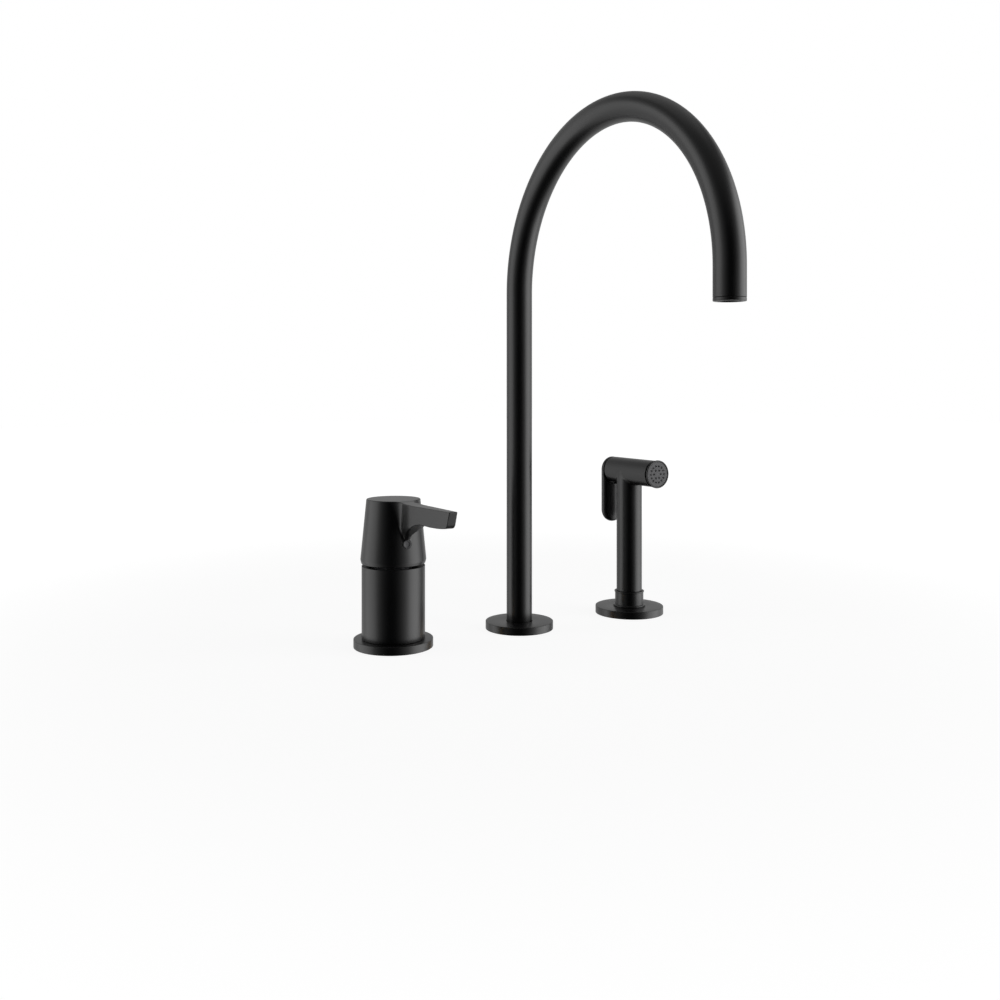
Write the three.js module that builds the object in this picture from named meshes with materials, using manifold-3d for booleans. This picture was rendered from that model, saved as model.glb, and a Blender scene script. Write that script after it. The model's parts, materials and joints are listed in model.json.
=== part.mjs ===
// Side spray kitchen faucet: a single lever mixer, a swivel spout and a pull-up hand spray, each in its
// own hole of the worktop. Millimetres, +Z up. The origin is the centre of the spout's hole, on the
// worktop's top face. The mixer stands at -X, the hand spray at +X, and the spout reaches towards -Y.

import * as THREE from 'three';
import { mergeVertices } from 'three/addons/utils/BufferGeometryUtils.js';
import Module from 'manifold-3d';

const wasm = await Module();
wasm.setup();

// ---------- fits and facets ----------
const FIT = 0.3; // gap round a piece that sits in another
const RUN = 0.3; // gap round a piece that turns or slides
const SKIM = 0.1; // gap under a piece that turns on a face
const FINE = 24; // facets of a large turned piece
const PLAIN = 16; // facets of a middling one
const COARSE = 12; // facets of a small one
const TUBE_FACETS = 20;
const MERGE = 1e-4; // vertices nearer than this are one

// ---------- worktop and clamping ----------
const HOLE_PITCH = 108.8; // from one hole of the worktop to the next
const WORKTOP_T = 30;
const FLANGE_T = 6;
const FLANGE_CHAMFER = 0.5;
const GASKET_T = 1.5;
const GASKET_W = 6;
const GASKET_INSET = 2.2; // from a flange's edge to its gasket
const RUBBER_WASHER_T = 3;
const STEEL_WASHER_T = 2;
const WASHER_INSET = 4; // a washer is this much smaller in radius than its flange
const NUT_H = 9;
const NUT_WALL = 6; // least wall of a nut, from bore to flat
const SHANK_TAIL = 8; // thread below the nut

const NUT_TOP = -WORKTOP_T - RUBBER_WASHER_T - STEEL_WASHER_T;
const SHANK_END = NUT_TOP - NUT_H - SHANK_TAIL;

// ---------- mixer ----------
const MIXER_FLANGE_R = 29.1;
const MIXER_BODY_R = 23.15;
const MIXER_BODY_TOP = 59.7;
const MIXER_SHANK_R = 16;
const MIXER_SHANK_WALL = 2.8;
const SHANK_SOCKET_H = 7; // how far the shank is screwed into the body
const BODY_FLOOR_T = 5;
const PORT_R = 5.1;
const PORT_PITCH_R = 7.4; // from the mixer's axis to each water port
const INLET_BORE_R = 2.8;
const INLET_NECK_R = 4.2;
const INLET_SHOULDER_R = 5.3;
const INLET_SHOULDER_H = 6;
const INLET_TAIL = 10; // how far an inlet shows below its shank
const INLET_TAIL_R = 5;

const CARTRIDGE_R = 17.5;
const CARTRIDGE_GASKET_T = 1.5;
const CARTRIDGE_BASE_T = 5.5;
const CARTRIDGE_WALL = 2;
const PEDESTAL_H = 12.5;
const FIXED_DISC_T = 4.5;
const MOVING_DISC_T = 2.8;
const MOVING_DISC_R = 12.6;
const SHOULDER_T = 2.2;
const CARTRIDGE_NUT_H = 5.3;
const CARTRIDGE_NUT_W = 1.1; // the nut is this much wider in radius than the cartridge
const NECK_BORE_R = 12.4;
const NECK_WALL = 1.6;
const NECK_H = 18.5;
const WATERWAY_R = 3.6;

const PIVOT_RISE = 9.3; // lever's pivot above the body's top edge
const LEVER_TILT = 20; // degrees that the lever lifts
const DISC_ARM = 13; // from the pivot down to the spindle's ball
const CARRIER_R = 9.8;
const CARRIER_TOP = 12; // below the pivot
const BALL_R = 3;
const BALL_NECK_R = 2.1;
const SPINDLE_W = 7;
const SPINDLE_SQUARE_DROP = 8; // the spindle is square from this far below the pivot
const ROTOR_DROP = 11; // rotor's lower face below the pivot
const ROTOR_RISE = 2.8; // rotor's upper face above the pivot
const SPINDLE_PIN_R = 1.3;

const CAP_GAP = 1.3; // between the body's top edge and the handle's rim
const CAP_RIM_H = 2.7; // height of the rim's chamfer
const CAP_CONE_H = 44.2;
const CAP_TOP_R = 19.75;
const CAP_EDGE = 1; // rounding of the handle's top edge
const CAP_WALL = 2.2;
const CAP_ROOF_T = 8;
const BOSS_R = 6.5;
const BOSS_RISE = 6; // boss's lower face above the pivot
const BOSS_RIB_W = 8;
const SPINDLE_INSET = 4; // solid metal above the spindle's end
const GRUB_RISE = 8.3; // grub screw's axis above the pivot
const GRUB_R = 2;
const GRUB_L = 6;
const PLUG_R = 3.05;
const PLUG_T = 2.2;
const PLUG_PROUD = 0.35;

const LEVER_L = 92.5; // from the mixer's axis to the lever's tip
const LEVER_TIP_RISE = -0.1; // top of the tip above the top of the handle
const LEVER_TIP_H = 11.4;
const LEVER_TIP_RAKE = 4; // the tip's lower edge lies this much further in
const LEVER_TIP_W = 6.4;
const LEVER_TIP_SAG = 0.4; // the bend of the underside near the tip, below its level part
const LEVER_MID_L = 36; // where the blade is widest
const LEVER_MID_W = 10.8;
const LEVER_NECK_L = 27; // where the blade has narrowed to its neck
const LEVER_NECK_W = 9.2;
const LEVER_UNDER_L = 54; // where the underside starts to fall towards the keel
const LEVER_UNDER_H = 12.9; // depth of the lever there, below the handle's top
const LEVER_ROOT_L = 12; // the blade starts this far out, inside the handle's roof
const KEEL_L = 44; // where the curve of the underside turns down into the keel
const KEEL_SAG = 1.8;
const KEEL_CLEAR = 1; // between the keel's foot and the plug
const KEEL_PROUD = 0.2; // the keel's foot stands out from the handle by this much
const KEEL_ROOT = 2; // how deep the keel goes into the handle's wall
const KEEL_FOOT_W = 4.4;
const KEEL_TOP_W = 15;

const BODY_SOCKET_Z = FLANGE_T + SHANK_SOCKET_H;
const CHAMBER_Z = BODY_SOCKET_Z + BODY_FLOOR_T;
const CARTRIDGE_Z = CHAMBER_Z + CARTRIDGE_GASKET_T;
const HOUSING_Z = CARTRIDGE_Z + CARTRIDGE_BASE_T;
const FIXED_DISC_Z = HOUSING_Z + PEDESTAL_H;
const MOVING_DISC_Z = FIXED_DISC_Z + FIXED_DISC_T + SKIM;
const HOUSING_ROOF_Z = MOVING_DISC_Z + MOVING_DISC_T + FIT;
const SHOULDER_Z = HOUSING_ROOF_Z + SHOULDER_T;
const PIVOT_Z = MIXER_BODY_TOP + PIVOT_RISE;
const BOWL_R = Math.hypot(MIXER_BODY_R, PIVOT_RISE);
const CAP_BALL_R = BOWL_R - RUN;
const CAP_RIM_Z = MIXER_BODY_TOP + CAP_GAP;
const CAP_EDGE_Z = CAP_RIM_Z + CAP_RIM_H;
const CAP_TOP_Z = CAP_EDGE_Z + CAP_CONE_H;
const CAP_EDGE_R = Math.sqrt(CAP_BALL_R ** 2 - (PIVOT_Z - CAP_EDGE_Z) ** 2);
const CAP_RIM_R = Math.sqrt(CAP_BALL_R ** 2 - (PIVOT_Z - CAP_RIM_Z) ** 2);
const GRUB_Z = PIVOT_Z + GRUB_RISE;
const DISC_REST_Y = DISC_ARM * Math.sin(THREE.MathUtils.degToRad(LEVER_TILT)) / 2;

// ---------- spout ----------
const SPOUT_R = 10;
const SPOUT_WALL = 1.5;
const SPOUT_BEND_R = 117.7; // centre line of the arch
const SPOUT_RISER_TOP = 262.8;
const OUTLET_Z = 241.3;
const OUTLET_RING_H = 2.2;
const OUTLET_SPIGOT_H = 9.8;
const OUTLET_WALL = 0.9;
const SPOUT_FLANGE_R = 26.5;
const SPOUT_FLANGE_ROOF = 2.6;
const SOCKET_HEAD_T = 1.9;
const SOCKET_HEAD_INSET = 3.6; // the socket's head lies this far inside the flange's edge
const SOCKET_SHANK_R = 16;
const SOCKET_BORE_L = 29; // length of the narrow bore
const SOCKET_LOWER_R = 11.2;
const THRUST_WASHER_T = 1.2;
const THRUST_WASHER_W = 3;
const FOOT_IN_TUBE = 15;
const FOOT_BORE_R = 5;
const GROOVE_DEPTH = 1.3;
const GROOVE_H = 2.2;
const RING_SEAL_H = 1.8;
const GROOVE_DEPTHS = [7, 15]; // upper edge of each seal's groove below the worktop's top face
const CIRCLIP_T = 1;
const CIRCLIP_W = 2.9;
const CIRCLIP_GAP = 40; // degrees
const SPOUT_INLET_PLUG_H = 9;
const ARC_STEPS = 28;

const SPOUT_BORE_R = SPOUT_R - SPOUT_WALL;
const SOCKET_HEAD_Z = GASKET_T + SOCKET_HEAD_T;
const SPOUT_TUBE_Z = SOCKET_HEAD_Z + THRUST_WASHER_T + SKIM;
const FOOT_R = SPOUT_BORE_R - FIT;
const SOCKET_BORE_R = FOOT_R + RUN + SKIM;
const GROOVE_R = FOOT_R - GROOVE_DEPTH;
const SOCKET_STEP_Z = SOCKET_HEAD_Z - SOCKET_BORE_L;

// ---------- aerator ----------
const AERATOR_INSET = 0.6; // above the outlet's lip
const AERATOR_H = 8.6;
const AERATOR_WALL = 1;
const SCREEN_T = 1;
const SCREEN_HOLE_R = 0.7;
const SCREEN_RINGS = [[0, 1], [2.3, 6], [4.4, 12]]; // radius of each ring of holes, and its count
const AERATOR_SEAL_H = 1.5;

const OUTLET_BORE_R = SPOUT_BORE_R - FIT - OUTLET_WALL;
const AERATOR_R = OUTLET_BORE_R - FIT / 2;

// ---------- hand spray ----------
const SPRAY_FLANGE_R = 28.2;
const HOLDER_R = 12.3;
const HOLDER_TOP = 18.6;
const HOLDER_RING_R = 13.2;
const HOLDER_RING_H = 1.4;
const HOLDER_SHANK_BORE_R = 9.4;
const HOLDER_STEP_RISE = 2.5; // the seat inside the holder, above the flange
const BUSH_FLANGE_T = 1.5;
const BUSH_WALL = 1.5;
const BUSH_L = 26;
const STEM_R = 10.55;
const STEM_BORE_R = 7;
const BARREL_R = 10.8;
const BARREL_Z = 118.5;
const BARREL_FRONT = 34.3; // from the stem's axis forwards
const BARREL_BACK = 20.4; // and backwards
const BARREL_BORE_R = 8;
const BARREL_REAR_WALL = 11.4; // the trigger is hinged in it
const NIPPLE_R = 6.7;
const NIPPLE_IN_STEM = 12;
const NIPPLE_BARB_R = 4;
const NIPPLE_BARB_L = 14;
const NIPPLE_BORE_R = 3;

const SEAM = 0.5; // between the barrel's end and the trigger
const TRIGGER_T = 3.9;
const TRIGGER_DROP = 33.7; // from the barrel's axis down to the trigger's lower round end
const TRIGGER_SQUEEZE = 5; // degrees
const TRIGGER_PIVOT_DROP = 6.8; // below the barrel's axis
const TRIGGER_PIVOT_IN = 2.6; // in front of the barrel's rear end
const TONGUE_W = 6; // the trigger's tongue, which sits in a slot of the barrel's rear wall
const TONGUE_H = 4.4;
const TONGUE_REACH = 2.6; // in front of the pivot
const TRIGGER_PIN_R = 1.25;
const TRIGGER_PIN_L = 15;
const ROD_R = 1.5;
const ROD_HEAD_R = 3;
const ROD_HEAD_T = 0.9;
const ROD_WALL = 1.1; // wall of the trigger that the rod's head pulls on
const TRIGGER_PLUG_R = 4;
const TRIGGER_PLUG_T = 0.9;
const SEAT_FORWARD = 12; // valve seat's rear face, forward of the stem's axis
const SEAT_T = 2.2;
const SEAT_HOLE_R = 4;
const VALVE_WASHER_R = 5.6;
const VALVE_WASHER_T = 2;
const VALVE_COLLAR_R = 4.5;
const VALVE_COLLAR_T = 1;
const VALVE_TIP_R = 2.5;
const SPRING_R = 4;
const SPRING_WIRE = 0.9;

const FACE_NECK = 0.9; // groove between the barrel and the spray face
const FACE_RING_R = 11.35;
const FACE_RING_T = 2.2;
const FACE_NECK_R = 9.6;
const FACE_SPIGOT_L = 6;
const FACE_BORE_R = 6.2;
const FACE_RIM = 1.1; // rim of the face ring round the spray plate
const SPRAY_PLATE_T = 1.4;
const NOZZLE_R = 0.45;
const NOZZLE_RINGS = [[0, 1], [2.6, 6], [5.1, 12]]; // radius of each ring of nozzles, and its count
const FACE_SEAL_T = 1.4;

const HOLDER_STEP_Z = FLANGE_T + HOLDER_STEP_RISE;
const HOLDER_BORE_R = STEM_R + RUN;
const STEM_Z = HOLDER_STEP_Z + BUSH_FLANGE_T + SKIM;
const BUSH_R = HOLDER_SHANK_BORE_R - RUN;
const BUSH_BORE_R = BUSH_R - BUSH_WALL;
const TRIGGER_Y = BARREL_BACK + SEAM;
const TRIGGER_PIVOT_Y = BARREL_BACK - TRIGGER_PIVOT_IN;
const TRIGGER_PIVOT_Z = BARREL_Z - TRIGGER_PIVOT_DROP;

// ---------- materials ----------
const finish = (color, roughness, metalness) =>
  () => new THREE.MeshStandardMaterial({ color, roughness, metalness });
const matteBlack = finish(0x26262a, 0.48, 0.3);
const brass = finish(0xb08d4a, 0.35, 1);
const steel = finish(0xb9bcc0, 0.3, 1);
const rubber = finish(0x1b1b1c, 0.9, 0);
const darkPlastic = finish(0x2e2f31, 0.6, 0);
const whitePlastic = finish(0xe4e2dc, 0.55, 0);
const ceramic = finish(0xf1eee6, 0.2, 0);

// ---------- geometry ----------
const radians = THREE.MathUtils.degToRad;

/** Closed mesh with shared vertices, turned so that its faces point out. */
function closed(geometry) {
  const bare = geometry.index ? geometry.toNonIndexed() : geometry.clone();
  bare.deleteAttribute('normal');
  bare.deleteAttribute('uv');
  const merged = mergeVertices(bare, MERGE);
  const index = Array.from(merged.index.array);
  const at = i => new THREE.Vector3().fromBufferAttribute(merged.attributes.position, i);
  const kept = [];
  let volume = 0;
  for (let i = 0; i < index.length; i += 3) {
    const [a, b, c] = index.slice(i, i + 3);
    if (a === b || b === c || c === a) continue;
    kept.push(a, b, c);
    volume += at(a).dot(at(b).cross(at(c)));
  }
  if (volume < 0) kept.reverse();
  merged.setIndex(kept);
  return merged;
}

function solid(geometry) {
  const body = closed(geometry);
  return new wasm.Manifold(new wasm.Mesh({
    numProp: 3,
    vertProperties: new Float32Array(body.attributes.position.array),
    triVerts: new Uint32Array(body.index.array),
  }));
}

function geometryOf(manifold) {
  const mesh = manifold.getMesh();
  const geometry = new THREE.BufferGeometry();
  geometry.setAttribute('position', new THREE.BufferAttribute(mesh.vertProperties, 3));
  geometry.setIndex(new THREE.BufferAttribute(mesh.triVerts, 1));
  return geometry;
}

function cut(geometry, ...tools) {
  return geometryOf(tools.reduce((body, tool) => body.subtract(solid(tool)), solid(geometry)));
}

function join(geometry, ...others) {
  return geometryOf(others.reduce((body, other) => body.add(solid(other)), solid(geometry)));
}

function common(geometry, ...others) {
  return geometryOf(others.reduce((body, other) => body.intersect(solid(other)), solid(geometry)));
}

/** Solid turned about +Z from [radius, z] points: on the axis at both ends, or closed on itself. */
function turned(points, facets = FINE) {
  const onAxis = points[0][0] === 0 && points.at(-1)[0] === 0;
  const outline = (onAxis ? points : [...points, points[0]]).map(([r, z]) => new THREE.Vector2(r, z));
  return new THREE.LatheGeometry(outline, facets).rotateX(Math.PI / 2);
}

function ring(outer, inner, low, high, facets = FINE) {
  return turned([[inner, low], [outer, low], [outer, high], [inner, high]], facets);
}

function rod(radius, from, to, facets = COARSE) {
  const a = new THREE.Vector3(...from);
  const b = new THREE.Vector3(...to);
  const turn = new THREE.Quaternion().setFromUnitVectors(
    new THREE.Vector3(0, 1, 0), b.clone().sub(a).normalize());
  const place = new THREE.Matrix4().compose(a.clone().add(b).multiplyScalar(0.5), turn,
    new THREE.Vector3(1, 1, 1));
  return new THREE.CylinderGeometry(radius, radius, a.distanceTo(b), facets).applyMatrix4(place);
}

function block(low, high) {
  const size = high.map((v, i) => v - low[i]);
  return new THREE.BoxGeometry(...size)
    .translate(...low.map((v, i) => v + size[i] / 2));
}

function plate(shape, low, high, curveSegments = PLAIN) {
  return new THREE.ExtrudeGeometry(shape, { depth: high - low, bevelEnabled: false, curveSegments })
    .translate(0, 0, low);
}

/** Points of an arc about [radius, z], by angle in degrees from +radius towards +z. */
function arc(centreR, centreZ, radius, from, to, steps) {
  return Array.from({ length: steps + 1 }, (_, i) => {
    const angle = radians(from + (to - from) * i / steps);
    return [centreR + radius * Math.cos(angle), centreZ + radius * Math.sin(angle)];
  });
}

function roundHole(radius, x = 0, y = 0) {
  const hole = new THREE.Path();
  hole.absarc(x, y, radius, 0, 2 * Math.PI, true);
  return hole;
}

/** Disc with rings of holes, given as [ring radius, count] pairs. */
function perforated(radius, holeR, rings, low, high) {
  const shape = new THREE.Shape().absarc(0, 0, radius, 0, 2 * Math.PI);
  for (const [pitch, count] of rings) {
    for (let i = 0; i < count; i++) {
      const angle = 2 * Math.PI * i / count;
      const points = Array.from({ length: 6 }, (_, k) => {
        const turn = -Math.PI * k / 3;
        return new THREE.Vector2(pitch * Math.cos(angle) + holeR * Math.cos(turn),
          pitch * Math.sin(angle) + holeR * Math.sin(turn));
      });
      shape.holes.push(new THREE.Path(points));
    }
  }
  return plate(shape, low, high, PLAIN / 2);
}

function piece(parent, name, geometry, material) {
  const mesh = new THREE.Mesh(closed(geometry), material());
  mesh.name = name;
  parent.add(mesh);
  return mesh;
}

// ---------- worktop hardware, alike on all three units ----------
function flangeOutline(outerR, boreR) {
  const gasketOut = outerR - GASKET_INSET;
  const gasketIn = gasketOut - GASKET_W;
  return [
    [gasketOut, 0], [outerR, 0], [outerR, FLANGE_T - FLANGE_CHAMFER],
    [outerR - FLANGE_CHAMFER, FLANGE_T], [boreR, FLANGE_T], [boreR, 0], [gasketIn, 0],
    [gasketIn, GASKET_T], [gasketOut, GASKET_T],
  ];
}

function addGasket(parent, name, flangeR) {
  const outer = flangeR - GASKET_INSET - FIT;
  piece(parent, `${name}_gasket`, ring(outer, outer - GASKET_W + 2 * FIT, 0, GASKET_T), rubber);
}

function addClamp(parent, name, shankR, flangeR) {
  const boreR = shankR + FIT;
  const washerR = flangeR - WASHER_INSET;
  const rubberLow = -WORKTOP_T - RUBBER_WASHER_T;
  piece(parent, `${name}_rubber_washer`, ring(washerR, boreR, rubberLow, -WORKTOP_T, PLAIN), rubber);
  piece(parent, `${name}_steel_washer`, ring(washerR, boreR, NUT_TOP, rubberLow, PLAIN), steel);
  const corner = (boreR + NUT_WALL) / Math.cos(Math.PI / 6);
  const hex = new THREE.Shape(Array.from({ length: 6 }, (_, i) => {
    const angle = Math.PI / 3 * i;
    return new THREE.Vector2(corner * Math.cos(angle), corner * Math.sin(angle));
  }));
  hex.holes.push(roundHole(boreR));
  piece(parent, `${name}_nut`, plate(hex, NUT_TOP - NUT_H, NUT_TOP, PLAIN / 2), brass);
}

// ---------- mixer ----------
const portAngles = [90, 210, 330];
const portPlace = angle => [PORT_PITCH_R * Math.cos(radians(angle)),
  PORT_PITCH_R * Math.sin(radians(angle))];

function addMixerBase(mixer) {
  piece(mixer, 'mixer_flange', turned(flangeOutline(MIXER_FLANGE_R, MIXER_SHANK_R + FIT)), matteBlack);
  addGasket(mixer, 'mixer', MIXER_FLANGE_R);
  const shankTop = BODY_SOCKET_Z - FIT;
  piece(mixer, 'mixer_shank',
    ring(MIXER_SHANK_R, MIXER_SHANK_R - MIXER_SHANK_WALL, SHANK_END, shankTop, PLAIN), brass);
  addClamp(mixer, 'mixer', MIXER_SHANK_R, MIXER_FLANGE_R);

  const nutR = CARTRIDGE_R + CARTRIDGE_NUT_W + FIT;
  const bowlEdge = THREE.MathUtils.radToDeg(-Math.acos(MIXER_BODY_R / BOWL_R));
  const bowlFoot = THREE.MathUtils.radToDeg(-Math.acos(nutR / BOWL_R));
  const chamberR = CARTRIDGE_R + FIT;
  const body = turned([
    [0, BODY_SOCKET_Z], [MIXER_SHANK_R + FIT, BODY_SOCKET_Z], [MIXER_SHANK_R + FIT, FLANGE_T],
    [MIXER_BODY_R, FLANGE_T], ...arc(0, PIVOT_Z, BOWL_R, bowlEdge, bowlFoot, 5),
    [nutR, SHOULDER_Z - FIT], [chamberR, SHOULDER_Z - FIT], [chamberR, CHAMBER_Z], [0, CHAMBER_Z],
  ]);
  const ports = portAngles.map(portPlace).map(([x, y]) =>
    rod(PORT_R, [x, y, BODY_SOCKET_Z - 1], [x, y, CHAMBER_Z + 1]));
  piece(mixer, 'mixer_body', cut(body, ...ports), matteBlack);

  const inlet = turned([
    [INLET_BORE_R, SHANK_END - INLET_TAIL], [INLET_TAIL_R, SHANK_END - INLET_TAIL],
    [INLET_TAIL_R, SHANK_END], [INLET_NECK_R, SHANK_END + 1],
    [INLET_NECK_R, shankTop - INLET_SHOULDER_H], [INLET_SHOULDER_R, shankTop - INLET_SHOULDER_H],
    [INLET_SHOULDER_R, shankTop], [PORT_R - FIT, shankTop], [PORT_R - FIT, CHAMBER_Z - FIT],
    [INLET_BORE_R, CHAMBER_Z - FIT],
  ], COARSE);
  ['mixed_outlet', 'hot_inlet', 'cold_inlet'].forEach((name, i) => {
    const [x, y] = portPlace(portAngles[i]);
    piece(mixer, name, inlet, brass).position.set(x, y, 0);
  });
}

function drilled(geometry, radius, low, high) {
  return cut(geometry, ...portAngles.map(portPlace).map(([x, y]) =>
    rod(radius, [x, y, low - 1], [x, y, high + 1], COARSE / 2)));
}

function addCartridge(mixer) {
  const innerR = CARTRIDGE_R - CARTRIDGE_WALL;
  piece(mixer, 'cartridge_gasket', drilled(turned([[0, CHAMBER_Z], [innerR, CHAMBER_Z],
    [innerR, CARTRIDGE_Z], [0, CARTRIDGE_Z]], PLAIN), WATERWAY_R, CHAMBER_Z, CARTRIDGE_Z), rubber);
  piece(mixer, 'cartridge_base', drilled(turned([[0, CARTRIDGE_Z], [CARTRIDGE_R, CARTRIDGE_Z],
    [CARTRIDGE_R, HOUSING_Z], [innerR - FIT, HOUSING_Z], [innerR - FIT, FIXED_DISC_Z],
    [0, FIXED_DISC_Z]], PLAIN), WATERWAY_R, CARTRIDGE_Z, FIXED_DISC_Z), whitePlastic);
  const discTop = FIXED_DISC_Z + FIXED_DISC_T;
  piece(mixer, 'fixed_ceramic_disc', drilled(turned([[0, FIXED_DISC_Z], [innerR - FIT, FIXED_DISC_Z],
    [innerR - FIT, discTop], [0, discTop]], PLAIN), WATERWAY_R, FIXED_DISC_Z, discTop), ceramic);
  const neckR = NECK_BORE_R + NECK_WALL;
  const neckTop = SHOULDER_Z + NECK_H;
  piece(mixer, 'cartridge_housing', turned([
    [innerR, HOUSING_Z], [CARTRIDGE_R, HOUSING_Z], [CARTRIDGE_R, SHOULDER_Z], [neckR, SHOULDER_Z],
    [neckR, neckTop], [NECK_BORE_R, neckTop], [NECK_BORE_R, HOUSING_ROOF_Z], [innerR, HOUSING_ROOF_Z],
  ], PLAIN), darkPlastic);
  piece(mixer, 'cartridge_nut', ring(CARTRIDGE_R + CARTRIDGE_NUT_W, neckR + FIT, SHOULDER_Z,
    SHOULDER_Z + CARTRIDGE_NUT_H, PLAIN), brass);
}

function addLeverDrive(mixer) {
  const discTop = MOVING_DISC_Z + MOVING_DISC_T;
  const disc = turned([[0, MOVING_DISC_Z], [MOVING_DISC_R, MOVING_DISC_Z], [MOVING_DISC_R, discTop],
    [0, discTop]], PLAIN);
  piece(mixer, 'moving_ceramic_disc', disc, ceramic).position.y = DISC_REST_Y;

  const carrierTop = PIVOT_Z - CARRIER_TOP;
  const carrier = turned([[0, discTop], [CARRIER_R, discTop], [CARRIER_R, carrierTop],
    [0, carrierTop]], PLAIN).translate(0, DISC_REST_Y, 0);
  const socketLow = PIVOT_Z - DISC_ARM - BALL_R - FIT;
  const socket = rod(BALL_R + FIT + SKIM, [0, 0, socketLow], [0, 0, carrierTop + 1]);
  piece(mixer, 'disc_carrier', cut(carrier, socket), whitePlastic);

  const tilt = radians(LEVER_TILT);
  const half = SPINDLE_W / 2;
  const swing = (drop, width) => drop * Math.tan(tilt) + width / Math.cos(tilt) + FIT;
  const rotorR = NECK_BORE_R - RUN;
  const rotorLow = PIVOT_Z - ROTOR_DROP;
  const rotorHigh = PIVOT_Z + ROTOR_RISE;
  const rotor = turned([[0, rotorLow], [rotorR, rotorLow], [rotorR, rotorHigh], [0, rotorHigh]], PLAIN);
  const ballReach = DISC_ARM * Math.sin(tilt) + BALL_R + FIT;
  const slotFront = Math.max(swing(SPINDLE_SQUARE_DROP, half), ballReach);
  const slot = block([-half - FIT, -slotFront, rotorLow - 1],
    [half + FIT, swing(ROTOR_RISE, half), rotorHigh + 1]);
  const pinBore = rod(SPINDLE_PIN_R + SKIM, [-rotorR - 1, 0, PIVOT_Z], [rotorR + 1, 0, PIVOT_Z]);
  piece(mixer, 'cartridge_rotor', cut(rotor, slot, pinBore), whitePlastic);
  const pinHalf = rotorR - 1;
  piece(mixer, 'spindle_pin', rod(SPINDLE_PIN_R, [-pinHalf, 0, PIVOT_Z], [pinHalf, 0, PIVOT_Z]), steel);

  const ballZ = PIVOT_Z - DISC_ARM;
  const squareZ = PIVOT_Z - SPINDLE_SQUARE_DROP;
  const neckAngle = THREE.MathUtils.radToDeg(Math.acos(BALL_NECK_R / BALL_R));
  const foot = turned([...arc(0, ballZ, BALL_R, -90, neckAngle, 6).map(([r, z], i) => [i ? r : 0, z]),
    [BALL_NECK_R, squareZ + 1], [0, squareZ + 1]], COARSE);
  const spindleTop = CAP_TOP_Z - CAP_ROOF_T - SPINDLE_INSET;
  const shaft = block([-half, -half, squareZ], [half, half, spindleTop]);
  piece(mixer, 'cartridge_spindle', cut(join(foot, shaft), pinBore), steel);
}

/** The handle's cone, hollow, with the boss that takes the spindle and the rib that takes its screw. */
function handleCone() {
  const slope = (CAP_EDGE_R - CAP_TOP_R) / CAP_CONE_H;
  const roofZ = CAP_TOP_Z - CAP_ROOF_T;
  const roofR = CAP_TOP_R + slope * CAP_ROOF_T - CAP_WALL;
  const bossZ = PIVOT_Z + BOSS_RISE;
  const innerRim = CAP_RIM_R - CAP_WALL;
  const cone = turned([
    [0, bossZ], [BOSS_R, bossZ], [BOSS_R, roofZ], [roofR, roofZ], [innerRim, CAP_RIM_Z],
    [CAP_RIM_R, CAP_RIM_Z], [CAP_EDGE_R, CAP_EDGE_Z],
    ...arc(CAP_TOP_R - CAP_EDGE, CAP_TOP_Z - CAP_EDGE, CAP_EDGE, 0, 90, 3), [0, CAP_TOP_Z],
  ], FINE);
  const ribFront = CAP_EDGE_R - slope * (bossZ - CAP_EDGE_Z) - CAP_WALL / 2;
  const rib = block([-BOSS_RIB_W / 2, -ribFront, bossZ], [BOSS_RIB_W / 2, -BOSS_R / 2, roofZ + 1]);
  const ribInCone = common(rib, turned([[0, bossZ], [ribFront, bossZ], [roofR + CAP_WALL / 2, roofZ + 1],
    [0, roofZ + 1]], FINE));
  return join(cone, ribInCone);
}

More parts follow.
